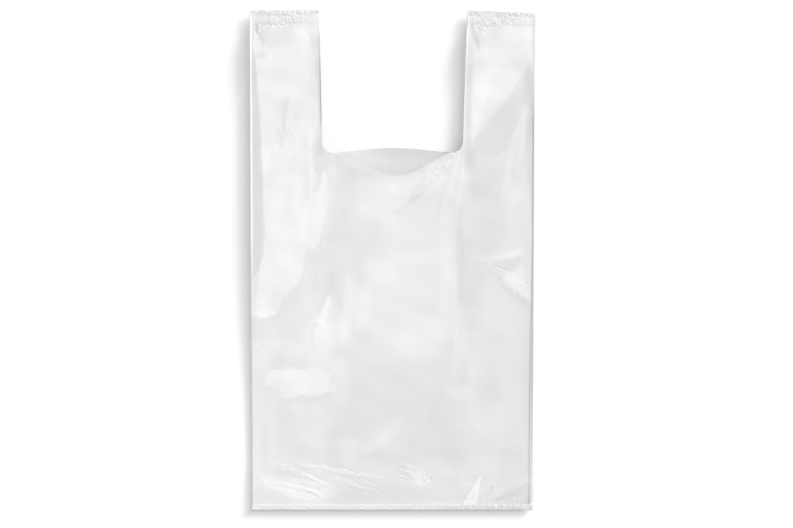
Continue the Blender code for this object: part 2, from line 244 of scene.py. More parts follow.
# Patches of painted light and shade on the front panel, standing in for its gloss and the shading of
# its facets: the change of tone, the softness of the outline and the outline itself, from the middle
# of the bottom edge
PAINTED_LIGHT_PATCHES = (
    # left handle and gusset
    (0.9, 1.1, (
        (-148, 497), (-141, 443), (-135, 300), (-136, 272), (-140, 263), (-141, 254), (-150, 246),
        (-150, 207), (-125, 207), (-117, 227), (-99, 245), (-92, 272), (-79, 286), (-70, 328),
        (-71, 361), (-74, 358), (-75, 344), (-80, 337), (-88, 339), (-82, 356), (-88, 384),
        (-81, 416), (-80, 448), (-89, 506), (-99, 514), (-139, 516),
    )),
    # its bright lower edge
    (0.8, 1.0, ((-148, 211), (-124, 211), (-124, 207), (-148, 206))),
    # gusset
    (0.3, 25.0, ((-150, 335), (-75, 345), (-70, 300), (-90, 250), (-150, 195))),
    # flap at the top left of each handle, and the film in its shade
    (0.1, 0.6, ((-152, 522), (-149, 522), (-140, 496), (-146, 475))),
    (-1.6, 0.5, ((-149, 521), (-138, 490), (-137, 497), (-144, 519))),
    (-0.8, 2.5, ((-147, 521), (-139, 494), (-126, 519), (-140, 524))),
    (0.4, 0.6, ((78, 522), (80, 522), (89, 496), (84, 474), (80, 490))),
    (-1.6, 0.5, ((81, 521), (91, 489), (93, 495), (86, 519))),
    (-0.8, 2.5, ((83, 521), (91, 493), (94, 506), (100, 517), (90, 523))),
    # by the handle welds
    (-0.7, 4.0, ((-150, 524), (-110, 520), (-100, 500), (-125, 494), (-146, 480))),
    (-0.6, 4.0, ((80, 524), (120, 520), (116, 506), (96, 496), (82, 480))),
    (1.3, 14.0, ((-142, 488), (-78, 488), (-78, 448), (-142, 448))),
    # left handle, middle and inner side
    (-0.7, 6.0, ((-122, 440), (-108, 442), (-104, 415), (-108, 395), (-121, 398), (-124, 420))),
    (-1.0, 5.0, ((-86, 505), (-76, 505), (-76, 420), (-84, 440), (-90, 480))),
    # foot of the left handle, towards the mouth
    (-1.2, 12.0, ((-72, 386), (-42, 372), (-38, 335), (-48, 290), (-66, 290))),
    # below the lip on the right
    (1.0, 4.0, ((-8, 352), (14, 355), (34, 362), (62, 376), (58, 355), (40, 338), (16, 336), (-6, 340))),
    # lower left and bottom
    (1.0, 14.0, ((-155, 230), (-60, 230), (-60, 170), (-70, 45), (-155, 45))),
    (0.5, 9.0, ((-155, 36), (155, 30), (155, -12), (-155, -12))),
    # right handle, left side
    (1.3, 5.0, ((82, 470), (104, 466), (100, 430), (84, 388))),
    # wedge beside the gusset
    (-0.2, 1.3, ((-70, 365), (-70, 336), (-78, 286), (-72, 301), (-66, 336), (-66, 363))),
    # notch at the handle's foot
    (-0.45, 1.6, (
        (-77, 405), (-88, 382), (-82, 355), (-88, 339), (-80, 337), (-75, 362), (-51, 369),
        (-58, 379), (-71, 383),
    )),
    # band below the gusset patch
    (-0.35, 2.0, (
        (-91, 273), (-77, 288), (-59, 241), (-86, 192), (-103, 182), (-139, 181), (-148, 203),
        (-124, 206), (-117, 226), (-98, 245),
    )),
    # dark tip of the band
    (-0.7, 2.7, ((-75, 256), (-62, 254), (-60, 232), (-67, 228), (-71, 232), (-75, 241))),
    # flame
    (1.0, 1.0, ((-68, 231), (-71, 218), (-85, 201), (-72, 198), (-66, 225))),
    # soft foot of the flame
    (0.7, 4.5, ((-82, 212), (-69, 210), (-69, 188), (-80, 178), (-92, 178), (-100, 186))),
    # second flame
    (0.8, 4.3, ((-51, 254), (-39, 249), (-46, 192), (-53, 179), (-58, 194))),
    # centre
    (0.8, 8.5, (
        (-28, 260), (-8, 269), (64, 277), (67, 224), (61, 192), (51, 168), (34, 158), (4, 162),
        (-18, 175), (-35, 196),
    )),
    # above the centre
    (0.5, 6.4, ((-15, 352), (40, 360), (59, 369), (64, 277), (40, 264), (8, 264), (-13, 288))),
    # right of the inner fold
    (-0.5, 4.3, (
        (66, 347), (64, 304), (74, 192), (96, 192), (100, 264), (121, 288), (119, 331), (96, 350),
    )),
    # dark core there
    (-0.5, 4.3, ((70, 288), (83, 288), (85, 224), (78, 205), (71, 224))),
    # right handle, upper left
    (0.5, 1.7, ((85, 514), (83, 480), (86, 396), (124, 442), (147, 478), (148, 514))),
    # right handle, lower right
    (-0.85, 1.7, (
        (147, 477), (150, 469), (150, 429), (140, 429), (121, 382), (104, 375), (87, 384),
        (85, 394), (124, 441),
    )),
    # streak by the right edge
    (0.5, 3.2, ((137, 435), (144, 431), (134, 395), (131, 373), (124, 356), (121, 365), (128, 384))),
    # right edge, upper
    (-1.0, 2.1, ((146, 431), (140, 384), (147, 331), (147, 307), (151, 307), (151, 437))),
    # lump at the right edge
    (0.5, 4.3, ((130, 346), (138, 348), (140, 333), (130, 324), (123, 333))),
    # right triangle
    (1.0, 1.5, ((115, 244), (138, 260), (141, 256), (140, 241), (145, 226), (130, 231))),
    # below the triangle
    (-0.6, 2.7, ((119, 237), (130, 229), (146, 224), (148, 211), (136, 215), (123, 224))),
    # streak above it
    (0.8, 1.7, ((93, 265), (115, 270), (136, 278), (138, 274), (123, 267), (108, 263))),
    # dark between them
    (-0.5, 2.1, ((100, 260), (123, 264), (138, 271), (136, 262), (115, 247), (102, 247))),
    # lower left patch
    (0.9, 1.1, (
        (-136, 136), (-133, 148), (-97, 149), (-80, 152), (-66, 141), (-68, 129), (-81, 121),
        (-93, 125), (-113, 119), (-123, 131),
    )),
    # soft upper end of it
    (0.7, 5.0, ((-130, 141), (-116, 151), (-92, 153), (-86, 170), (-75, 178), (-62, 168), (-66, 138))),
    # dip over it
    (-0.2, 1.8, (
        (-124, 170), (-118, 174), (-94, 172), (-85, 166), (-88, 156), (-94, 151), (-117, 154),
        (-125, 161),
    )),
    # left corner of the dip
    (0.35, 3.0, ((-151, 178), (-133, 170), (-132, 156), (-136, 140), (-150, 160))),
    (0.8, 0.9, ((-151, 180), (-145, 179), (-141, 174), (-150, 175))),
    # lower middle
    (-0.1, 10.7, (
        (-61, 153), (8, 156), (51, 164), (83, 185), (149, 192), (149, 10), (-56, 10), (-65, 74),
    )),
    # slanting streak
    (0.7, 2.7, ((9, 96), (-2, 91), (-18, 70), (-39, 74), (-45, 70), (-30, 62), (-9, 66), (3, 81))),
    # thin folds over the bundle
    (1.1, 0.9, ((-127, 51), (-60, 25), (-116, 43))),
    (0.8, 1.2, ((-97, 49), (-70, 46), (-10, 34), (-44, 37), (-80, 43))),
    # crossing folds, lower middle
    (0.6, 1.4, ((10, 51), (38, 41), (40, 28), (30, 25), (19, 37))),
    # bundle, lower left
    (1.0, 1.7, ((-139, 34), (-99, 29), (-61, 21), (-64, 14), (-80, 11), (-99, 12), (-132, 24))),
    # beside the bundle
    (-0.35, 3.2, ((-58, 40), (-13, 36), (6, 21), (6, 10), (-58, 10))),
    # spike
    (1.7, 1.3, ((94, 36), (90, 9), (77, 9))),
    # lower right corner
    (-0.6, 3.0, ((151, 29), (132, 30), (120, 22), (104, 6), (151, 6))),
    # left strip
    (-0.3, 1.3, (
        (-152, 501), (-149, 498), (-145, 473), (-139, 395), (-135, 304), (-138, 277), (-150, 224),
        (-152, 224),
    )),
    # right handle's strip
    (0.3, 1.3, ((80, 491), (85, 394), (75, 393), (77, 480))),
)

# Where the film is finely crumpled, and where fine strands run down to the right: the middle of the
# place, half its length and width, the turn of its length in degrees, and how strong it is
CRUMPLED = (
    # by the handle welds
    ((-115, 524), (50, 11), 6, 1.0),
    ((-142, 516), (15, 11), 60, 0.8),
    ((-112, 518), (22, 8), 24, 0.6),
    ((115, 522), (50, 11), 6, 1.0),
    ((94, 514), (18, 9), 50, 0.6),
    # by the bottom weld and the mouth's corner
    ((34, 33), (16, 10), 40, 0.5),
    ((104, 20), (16, 6), 60, 0.6),
    ((128, 14), (32, 10), 20, 0.25),
    ((60, 372), (20, 10), 35, 0.5),
    ((68, 382), (12, 7), 60, 0.8),
    # foot of the left handle
    ((-112, 408), (30, 12), 68, 0.3),
    ((-86, 362), (20, 12), 80, 0.2),
    # right side
    ((114, 266), (26, 6), 5, 0.15),
    ((138, 236), (14, 12), -60, 0.4),
    ((136, 350), (50, 10), 80, 0.2),
)
STRANDED = (
    # above the bottom weld
    ((-98, 23), (44, 12), -12, 0.40),
    ((-100, 40), (40, 5), -24, 0.35),
    ((-55, 42), (50, 6), -8, 0.3),
    ((-30, 22), (44, 13), -10, 0.2),
    ((16, 38), (24, 12), -30, 0.45),
    # from the mouth's right corner, and on the right side
    ((40, 352), (24, 12), 50, 0.3),
    ((112, 256), (24, 10), 5, 0.35),
    ((-62, 245), (14, 10), 60, 0.15),
)


# Soft ovals of painted light and shade, where the film is painted a little whiter or greyer: middle,
# half length and width, turn, change
PAINTED_SHADES = (
    # left handle and gusset
    ((-139, 484), (9, 6), 0, -1.5),
    ((-125, 505), (30, 16), 0, -0.8),
    ((105, 505), (26, 16), 0, -0.6),
    ((-112, 447), (26, 14), 0, 0.8),
    ((-112, 320), (70, 26), 84, 0.7),
    ((-88, 312), (56, 12), 76, 1.0),
    ((-136, 372), (26, 9), 90, 1.0),
    ((-122, 378), (24, 18), 0, 0.9),
    ((-98, 330), (50, 10), 90, 0.5),
    ((-136, 240), (50, 14), 90, 0.8),
    ((-128, 196), (16, 12), 0, 0.6),
    ((-90, 168), (28, 16), 10, 0.8),
    ((-94, 222), (34, 24), 50, 0.6),
    ((-76, 388), (14, 8), 80, -1.3),
    ((-35, 370), (26, 10), -8, 1.0),
    ((-2, 358), (14, 8), 0, 0.8),
    ((-112, 254), (34, 30), 0, 1.1),
    ((-72, 250), (22, 11), 90, 0.9),
    ((-130, 176), (26, 14), 90, 0.9),
    ((-106, 137), (34, 16), 0, 0.3),
    ((-136, 68), (36, 8), 90, -0.8),
    # flames, centre and the streak
    ((-64, 187), (36, 22), 0, 1.0),
    ((-56, 133), (46, 14), 90, 1.0),
    ((-10, 258), (28, 34), 0, 0.8),
    ((-24, 335), (36, 32), 0, 0.6),
    ((-34, 220), (34, 15), 90, 0.7),
    ((36, 192), (34, 22), 0, 0.6),
    ((2, 78), (28, 26), 0, 0.7),
    ((-46, 62), (24, 13), 90, 0.7),
    ((-52, 72), (16, 12), 0, 0.8),
    ((74, 146), (24, 12), 90, -0.9),
    ((-32, 68), (34, 13), 24, 0.8),
    ((-13, 83), (10, 10), 0, 0.4),
    # above the bottom weld
    ((-94, 22), (36, 24), -10, 1.2),
    ((29, 34), (9, 12), 0, 0.9),
    ((130, 40), (32, 38), 0, -1.0),
    ((148, 8), (14, 12), 0, -1.2),
    ((-100, 33), (40, 10), -14, -0.6),
    ((95, 33), (20, 10), 0, -0.8),
    ((60, 30), (20, 10), 0, -0.7),
    # right handle and right side
    ((112, 458), (38, 27), 0, 1.9),
    ((96, 362), (34, 44), 0, -0.6),
    ((81, 380), (28, 10), 90, -1.1),
    ((57, 262), (80, 8), 90, 0.3),
    ((72, 262), (80, 7), 90, -0.8),
    ((82, 240), (90, 12), 90, -0.5),
    ((101, 131), (22, 40), 0, -0.8),
    ((144, 136), (90, 9), 90, -0.6),
    ((70, 358), (40, 20), 90, 1.0),
    ((35, 371), (22, 10), 0, 1.0),
    ((110, 483), (30, 11), 0, 0.8),
    ((93, 499), (8, 8), 0, -0.8),
    ((146, 430), (60, 8), 90, -1.0),
)


# How white the film looks, and the light and shade painted on it

OVAL_EDGE = 1.5
# Painted highlight along the rims of crisp whiter patches: the softness below which it shows, and its
# strength
CRISP_SOFTNESS = 2.2
PAINTED_RIM_HIGHLIGHT = 5.0
RAGGED_SEEDS = (21, 22)
# Waves of a ragged outline: length and height in mm
RAGGED_WAVES = ((3.2, 0.25), (4.6, 0.35), (7.5, 0.35), (12.0, 0.40), (19.0, 0.60))

WELD_TONE = 2.4
WELD_TONE_REACH = 0.0040
WANDER_SLANT = 0.0035
WANDER_UNEVEN = 0.0014
# Turns per metre across and starts of the sines of a weld's uneven end
WANDER_WAVES = ((95, 1.0), (41, 0.0), (260, 0.0))
WANDER_SHORT_SHARE = 0.5

# Painted shade in the mouth, where the back panel's inside is seen, and painted light towards the left:
# stretches from its level, and across the bag
MOUTH_PAINTED_SHADE = -0.5
LIP_PAINTED_SHADOW = -1.7
MOUTH_PAINTED_LIGHT = 1.8
SHADE_BY_LIP = (-0.012, 0.004)
SHADE_TO_RIGHT = (-0.065, -0.005)
LIGHT_TO_LEFT = (0.010, -0.040)

# Lines along the edges, mostly painted light and shade: their tones and widths low down and high up,
# and where these change
LEFT_LINE_PAINTED_LIGHT = (-1.5, 5.0)
LEFT_LINE_WHITENS = (0.210, 0.320)
LEFT_LINE_WIDTH = 0.0026
RIGHT_LINE_PAINTED_SHADE = (-4.8, -6.5)
RIGHT_LINE_DARKENS = (0.170, 0.250)
RIGHT_LINE_TOP_PAINTED_SHADE = -2.0
RIGHT_LINE_PALES = (0.410, 0.440)
RIGHT_LINE_WIDTHS = (0.0032, 0.0022)
RIGHT_LINE_NARROWS = (0.150, 0.300)
CUT_LINE_PAINTED_SHADOW = -5.0
CUT_LINE_WIDTH = 0.0012
CUT_LINE_STARTS = (0.395, 0.425)
CUT_LINE_ENDS = (0.500, 0.460)
BACK_LINE_PAINTED_SHADOW = (-2.0, -5.0)
BACK_LINE_DARKENS = (0.060, 0.160)
BACK_LINE_ENDS = (0.480, 0.400)
BACK_LINE_WIDTH = 0.0060
WELD_LINE_TONE = -1.2
WELD_LINE_ABOVE = 0.0009
WELD_LINE_WANDER = 0.0006
WELD_LINE_TURNS = (70, 29)
WELD_LINE_WIDTH = 0.0010
WELD_LINE_EDGE = 1.3
LINES_ON_FRONT_FROM = 2.4
LINES_ON_BACK_TO = 1.6


def oval_share(x, y, middle, half, turn):
    """1 well inside an oval and 0 outside it, eased over the outer two thirds of the way."""
    run_x, run_y = math.cos(math.radians(turn)), math.sin(math.radians(turn))
    gap_x, gap_y = x / MM - middle[0], y / MM - middle[1]
    along = (gap_x * run_x + gap_y * run_y) / half[0]
    across = (gap_y * run_x - gap_x * run_y) / half[1]
    return smooth(OVAL_EDGE * (1 - np.hypot(along, across)))


def strength_of(places, x, y):
    """How strong a pattern is: soft ovals, the strongest of those that overlap."""
    strength = np.zeros(x.shape)
    for middle, half, turn, most in places:
        strength = np.maximum(strength, most * oval_share(x, y, middle, half, turn))
    return strength


def patch_share(x, y, outline, softness):
    """1 inside an outline and 0 outside it, eased over the softness: the distance to the nearest
    side, counted negative where a level line to the right crosses the sides an even number of times."""
    nearest = np.full(x.shape, np.inf)
    inside = np.zeros(x.shape, bool)
    for (x0, y0), (x1, y1) in zip(outline, outline[1:] + outline[:1]):
        run_x, run_y = x1 - x0, y1 - y0
        along = np.clip(((x - x0) * run_x + (y - y0) * run_y) / (run_x**2 + run_y**2), 0.0, 1.0)
        nearest = np.minimum(nearest, np.hypot(x - x0 - along * run_x, y - y0 - along * run_y))
        crossing = x0 + (y - y0) * run_x / np.where(run_y == 0, 1.0, run_y)
        inside ^= ((y0 > y) != (y1 > y)) & (x < crossing)
    return smooth(0.5 + np.where(inside, nearest, -nearest) / (2 * softness))


def ragged(x, y, seed):
    """Small irregular shift in mm, from sine waves of different length and scattered direction."""
    scatter = np.random.default_rng(seed)
    shift = np.zeros(x.shape)
    for wave, height in RAGGED_WAVES:
        turn, phase = scatter.uniform(0, 2 * math.pi, 2)
        shift += height * np.sin((x * math.cos(turn) + y * math.sin(turn)) * 2 * math.pi / wave + phase)
    return shift


def painted_light_of_film(x, y):
    """Painted light (above 0) and painted shade (below 0) on the front panel: the sum of its patches and
    soft ovals. A whiter patch with a crisp outline gets a painted highlight along its rim, highest at
    half its share."""
    x_mm, y_mm = x / MM, y / MM
    shift_x, shift_y = (ragged(x_mm, y_mm, seed) for seed in RAGGED_SEEDS)
    tone = np.zeros(x.shape)
    for change, softness, outline in PAINTED_LIGHT_PATCHES:
        share = patch_share(x_mm + shift_x, y_mm + shift_y, outline, softness)
        crisp = max(0.0, min(1.0, CRISP_SOFTNESS - softness)) if change > 0 else 0.0
        tone += change * (share + crisp * PAINTED_RIM_HIGHLIGHT * share * (1 - share))
    for middle, half, turn, change in PAINTED_SHADES:
        tone += change * oval_share(x, y, middle, half, turn)
    return tone


def weld_wander(x):
    """How far the film stays flat past a handle weld: more by the handle's left side, and uneven by
    the product of two long sine waves and a short one."""
    from_left = np.where(x < 0, x + HALF_WIDTH, x - HANDLE_INNER) / HANDLE_WIDTH
    middling, long, short = (np.sin(turn * x + start) for turn, start in WANDER_WAVES)
    uneven = middling * long + WANDER_SHORT_SHARE * short
    return WANDER_SLANT * (1 - 2 * from_left) + WANDER_UNEVEN * uneven


def tone_by_weld(x, y, top):
    """The film looks whiter where the wrinkles of a handle weld run on into it, with an uneven end."""
    from_weld = top - HANDLE_WELD_HEIGHT - weld_wander(x) - y
    return WELD_TONE * near(from_weld, WELD_TONE_REACH) * (y > SHOULDER_LEVEL)


def painted_shade_of_mouth(x, y):
    """Painted shade on the back panel's inside in the mouth, most of all by its lip on the right, and
    painted light towards the left.
    """
    by_lip = eased(y - MOUTH_LEVEL, SHADE_BY_LIP) * eased(x, SHADE_TO_RIGHT)
    return MOUTH_PAINTED_SHADE + LIP_PAINTED_SHADOW * by_lip + MOUTH_PAINTED_LIGHT * eased(x, LIGHT_TO_LEFT)


def edge_lines_and_painted_light(layer, x, y):
    """The front's folds stand out as lines: a painted highlight on the left, with painted shade at its
    low end, and painted shade on the right, where the back panel's edge shows outside it with painted
    shadow on it; painted shadow runs up the cut edge of the left handle, and a grey line runs along the
    bottom weld."""
    from_fold = np.maximum(side_fold(y) - np.abs(x), 0.0)
    # Painted highlight along the left fold, painted shade low down
    left = mix(*LEFT_LINE_PAINTED_LIGHT, eased(y, LEFT_LINE_WHITENS)) * near(from_fold, LEFT_LINE_WIDTH)
    # Painted shadow up the cut edge of the left handle
    from_cut = np.maximum(np.abs(x) - cut_edge(x, y), 0.0)
    cut_length = eased(y, CUT_LINE_STARTS) * eased(y, CUT_LINE_ENDS)
    left = left + CUT_LINE_PAINTED_SHADOW * near(from_cut, CUT_LINE_WIDTH) * cut_length
    # Painted shade along the right fold
    width = mix(*RIGHT_LINE_WIDTHS, eased(y, RIGHT_LINE_NARROWS))
    darkest = mix(*RIGHT_LINE_PAINTED_SHADE, eased(y, RIGHT_LINE_DARKENS))
    right = mix(darkest, RIGHT_LINE_TOP_PAINTED_SHADE, eased(y, RIGHT_LINE_PALES)) * near(from_fold, width)
    quick, slow = WELD_LINE_TURNS
    wander = WELD_LINE_WANDER * np.sin(x * quick + 1) * np.sin(x * slow)
    from_line = np.abs(y - BOTTOM_WELD_HEIGHT - WELD_LINE_ABOVE - wander)
    by_weld = WELD_LINE_TONE * smooth(WELD_LINE_EDGE - from_line / WELD_LINE_WIDTH)
    on_front = np.where(x < 0, left, right) + np.where(layer > FRONT_FROM, by_weld, 0.0)
    # Painted shadow on the back panel's edge, where it shows outside the front on the right
    shaded = mix(*BACK_LINE_PAINTED_SHADOW, eased(y, BACK_LINE_DARKENS)) * eased(y, BACK_LINE_ENDS)
    on_back = np.where(x > 0, shaded * near(from_fold, BACK_LINE_WIDTH), 0.0)
    elsewhere = np.where(layer < LINES_ON_BACK_TO, on_back, 0.0)
    return np.where(layer > LINES_ON_FRONT_FROM, on_front, elsewhere)


# Outline of the bag, seen from above


def side_fold(y):
    """Distance of the side folds from the middle line: they draw in evenly towards the bottom."""
    return HALF_WIDTH - BOTTOM_DRAW_IN * (1 - y / BAG_LENGTH)


def handle_top(x):
    """Level of the handle tops: the right one slants down outwards."""
    slant = RIGHT_TOP_SLANT * (np.abs(x) - HANDLE_INNER) / HANDLE_WIDTH
    return BAG_LENGTH - np.where(x > 0, slant, 0.0)


def cut_edge(x, y):
    """Distance of a handle's cut edge from the middle line: it leans outwards on the way up."""
    flare = np.where(x < 0, LEFT_HANDLE_FLARE, RIGHT_HANDLE_FLARE)
    up = np.clip((y - SHOULDER_LEVEL) / (BAG_LENGTH - SHOULDER_LEVEL), 0.0, 1.0)
    return HANDLE_INNER + flare * up


def between_handles(x):
    """1 across the mouth, eased to 0 at the handles' cut edges."""
    return smooth((HANDLE_INNER - np.abs(x)) / LIP_SIDE_BLEND)


def lip_level(x, dip):
    """Cut edge of the mouth: a quarter circle into each corner, and between them a curve that lies
    lowest in the middle, by dip times the power 1.5 of 1 less the square of the way outwards."""
    from_middle = np.minimum(1.0, np.abs(x) / CORNER_CENTRE)
    edge = MOUTH_LEVEL - dip * (1 - from_middle**2) ** 1.5
    into_corner = np.clip(np.abs(x) - CORNER_CENTRE, 0.0, MOUTH_CORNER_RADIUS)
    rise = MOUTH_CORNER_RADIUS - np.sqrt(MOUTH_CORNER_RADIUS**2 - into_corner**2)
    return np.where(into_corner >= MOUTH_CORNER_RADIUS, SHOULDER_LEVEL, edge + rise)


# Height of the film

# The strip that bends down to the left fold
STRIP_WIDTHS = (0.0030, 0.0125)
STRIP_WIDENS = (0.190, 0.300)
STRIP_NARROWS = (0.560, 0.340)

# Air under the front panel: stretches from the bottom, from the mouth and across its half width
BODY_RISES = (0.060, 0.300)
FOLD_RUN = 0.060
CENTRE_REACH = 1.25 * GUSSET_DEPTH
LIP_RUN = 0.070
LIP_RISES = (-0.60, 0.70)
HANDLE_STARTS = (-0.010, 0.035)
HANDLE_STRIP = 0.008
CURL_RUN = 0.015

# Soft waves: the height, and the turn across, the turn along and the start of each of two sines
SWELL_WAVES = (
    (1.0, (48, 15, 1.2), (10, -29, 0.4)),
    (0.6, (75, -47, 2.1), (31, 63, 4.0)),
    (0.35, (160, 90, 3.3), (-70, 120, 0.0)),
)

# Facets: spacing, how far they are stretched along the bag and the seed of their points
WIDE_FACETS = (0.060, 1.5, 4)
FINE_FACETS = (0.025, 1.3, 9)
FINE_FACET_SHARE = 0.35
CREASES_START = 0.006
FINE_FACETS_START = 0.015
WAVES_START = 0.035

# How the layers lie over each other
BACK_LIP_LIFT = 0.0006
BACK_LIP_RISES = (-0.030, 0.005)
HANDLE_OPENING = HANDLE_LENGTH / 4
BACK_GUSSET_SHARE = 0.32
VALLEY_ROOM = 0.0012
VALLEY_REACH = 0.010
VALLEY_SHARE = 0.6
CREASE_SINK = 0.7


def ridge_from(edge_distance, far_distance, width, slope):
    """Rise away from an edge at a steady slope over width, then fall back to nothing by far."""
    up = np.minimum(edge_distance, width)
    back = 1 - np.clip((edge_distance - width) / (far_distance - width), 0.0, 1.0)
    return np.tan(slope) * up * back


def curl(edge_distance, sizes):
    """The film's edges turn up a little: a rise that dies away inwards."""
    return sizes.curl_rise * np.exp(-np.maximum(edge_distance, 0.0) / sizes.curl_reach)


def strip_width(y):
    """Width of the strip that bends down to the left fold: widest near the middle of its height."""
    return mix(*STRIP_WIDTHS, eased(y, STRIP_WIDENS) * eased(y, STRIP_NARROWS))


def lip_loft(x, y, sizes):
    """Share of the air that is left by the mouth's lip: the front panel settles towards the back one
    there, most of all on the left."""
    settled = near(MOUTH_LEVEL - FRONT_LIP_DIP - y, LIP_RUN)
    low_share = mix(sizes.lip_share, 1.0, eased(x / HANDLE_INNER, LIP_RISES))
    return 1 - (1 - low_share) * settled * between_handles(x)


def air(x, y, top, sizes):
    """Height of the air under the front panel, over the stack of its layers. The gussets hold the
    side folds up, more so towards the mouth, and the panel hangs a little lower between them. A
    handle rises from its left edge and then falls gently to its right one."""
    from_fold = np.maximum(side_fold(y) - np.abs(x), 0.0)
    up_share = eased(y, BODY_RISES)
    fold = mix(sizes.low_fold, sizes.high_fold, up_share) * rounded((y - BOTTOM_FLAT) / FOLD_RUN)
    bottom_share = rounded((y - BOTTOM_FLAT) / sizes.bottom_run)
    centre = sizes.centre_loft * bottom_share * lip_loft(x, y, sizes)
    body = mix(fold, centre, smooth(from_fold / CENTRE_REACH))
    strip = ridge_from(from_fold, GUSSET_DEPTH, strip_width(y), sizes.strip_slope)
    body = body + np.where(x < 0, strip, 0.0) * up_share
    from_cut = np.maximum(np.abs(x) - cut_edge(x, y), 0.0)
    from_left = np.where(x < 0, from_fold, from_cut)
    width = np.where(x < 0, strip_width(y), HANDLE_STRIP)
    handle = sizes.handle_loft + ridge_from(from_left, HANDLE_WIDTH, width, sizes.strip_slope)
    handle_share = eased(y - MOUTH_LEVEL, HANDLE_STARTS)
    from_top = (top - HANDLE_FLAT - weld_wander(x) - y) / sizes.top_run
    shape = mix(body, handle, handle_share) * rounded(from_top)
    edges = curl(from_fold, sizes) * up_share + handle_share * curl(from_cut, sizes)
    return shape + edges * smooth(to_weld(y, top) / CURL_RUN)


def to_weld(y, top):
    """Distance to the nearer weld's flat stretch, along the bag."""
    return np.minimum(y - BOTTOM_FLAT, top - HANDLE_FLAT - y)


def swell(x, y):
    """Soft waves of the film: pairs of slow sine waves that run in different directions, each pair
    multiplied, and the pairs added up."""
    total = np.zeros(x.shape)
    for height, *pair in SWELL_WAVES:
        first, second = (np.sin(turn_x * x + turn_y * y + start) for turn_x, turn_y, start in pair)
        total += height * first * second
    return total


def wrinkles_by_weld(x, y, top):
    """Wrinkles of the handle welds, running on a little way into the film."""
    run_on = near(top - HANDLE_WELD_HEIGHT - y, WRINKLES_RUN_ON) * (y > SHOULDER_LEVEL)
    return wrinkled_height(x, y, HANDLE_WRINKLES) * run_on


def details(x, y, top, sizes):
    """Height added to the front panel by its creases, facets and soft waves."""
    from_fold = np.maximum(side_fold(y) - np.abs(x), 0.0)
    from_weld = to_weld(y, top)
    sharp = np.zeros(x.shape)
    for place in CREASES:
        sharp += sizes.crease_rise * MM * crease(x / MM, y / MM, *place)
    slow = sizes.facet_rise * crumple(x, y, *WIDE_FACETS) + sizes.swell_rise * swell(x, y)
    fine = FINE_FACET_SHARE * sizes.facet_rise * crumple(x, y, *FINE_FACETS)
    total = np.zeros(x.shape)
    for height, start in ((sharp, CREASES_START), (slow, WAVES_START), (fine, FINE_FACETS_START)):
        total += height * smooth(from_fold / start) * smooth(from_weld / start)
    return total


def valley_room(x, y):
    """Depth that the front panel's valleys may sink over the gusset, which lies this much lower."""
    from_fold = np.maximum(side_fold(y) - np.abs(x), 0.0)
    return VALLEY_ROOM * smooth(from_fold / VALLEY_REACH)


def back_lip(x, y):
    """The back panel lifts off the ground towards its lip between the handles."""
    return BACK_LIP_LIFT * eased(y - MOUTH_LEVEL, BACK_LIP_RISES) * between_handles(x)


def lift(y):
    """The bag's ends stand a little off the ground: eased up towards the welds."""
    return FOOT_LIFT * near(y, FOOT_LIFT_LENGTH) + TOP_LIFT * near(BAG_LENGTH - y, TOP_LIFT_LENGTH)


def pocket_share(x, y):
    """How far the two gusset layers stand apart: 0 at their inner fold, 1 at the outer folds."""
    from_inner_fold = 1 - (side_fold(y) - np.abs(x)) / GUSSET_DEPTH
    open_handle = smooth((y - MOUTH_LEVEL) / HANDLE_OPENING)
    return mix(np.clip(from_inner_fold, 0.0, 1.0), 1.0, open_handle)


def level(layer, x, y, top, sizes):
    """Mid-film height of a layer: 0 the back panel, 1 and 2 the gusset, 3 the front panel, and
    between two of these on a fold."""
    depth = air(x, y, top, sizes)
    share = pocket_share(x, y)
    welded = near(to_weld(y, top), WELD_RUN_OUT)
    pitch = mix(LAYER_PITCH, WELD_PITCH, welded)
    back = BACK_LEVEL + WELD_COVER * welded + back_lip(x, y) + lift(y)
    room = np.minimum(valley_room(x, y), VALLEY_SHARE * depth)
    back_gusset = back + pitch + BACK_GUSSET_SHARE * (depth - room) * (1 - share)
    front_gusset = back_gusset + pitch + (depth - room) * share
    front = back + 3 * pitch + depth
    lower = np.select([layer < 1, layer < 2, layer < 3], [back, back_gusset, front_gusset], front)
    upper = np.select([layer < 1, layer < 2], [back_gusset, front_gusset], front)
    z = mix(lower, upper, layer - np.floor(layer))
    extra = np.maximum(details(x, y, top, sizes), -CREASE_SINK * (1 - share) * depth - room)
    return z + np.where(layer > FRONT_FROM, extra, 0.0) + wrinkles_by_weld(x, y, top)


# The grid of a panel

COLUMN_CROWDING = 0.115
CROWDED_FROM = 20
BODY_ROW_CROWDING = 1.25
END_ROW_CROWDING = 0.25
HANDLE_ROW_CROWDING = 1.5
LAST_ROW_INTO_WELD = 0.25
BEND_TO_LIP = (0.72, 1.0)
INSET_SHRINKS = (0.100, 0.300)
INSET_FROM_MIDDLE = (0.5, 1.0)
INSET_LAYERS_FROM = 1.99


def stations(handle_columns, corner_columns, lip_columns):
    """Columns of half a panel, from its outer fold in to the middle line: straight steps, crowded
    towards both edges of a handle where there are many, and even turns round the corner."""
    outer = HALF_WIDTH - LAYER_PITCH / 2
    even = np.linspace(0.0, 1.0, handle_columns, endpoint=False)
    crowding = COLUMN_CROWDING if handle_columns > CROWDED_FROM else 0.0
    handle = mix(outer, HANDLE_INNER, even - crowding * np.sin(2 * math.pi * even))
    turns = np.linspace(math.pi / 2, 0.0, corner_columns, endpoint=False)
    corner = CORNER_CENTRE + MOUTH_CORNER_RADIUS * np.sin(turns)
    lip = np.linspace(CORNER_CENTRE, 0.0, lip_columns, endpoint=False)
    return np.concatenate([handle, corner, lip])


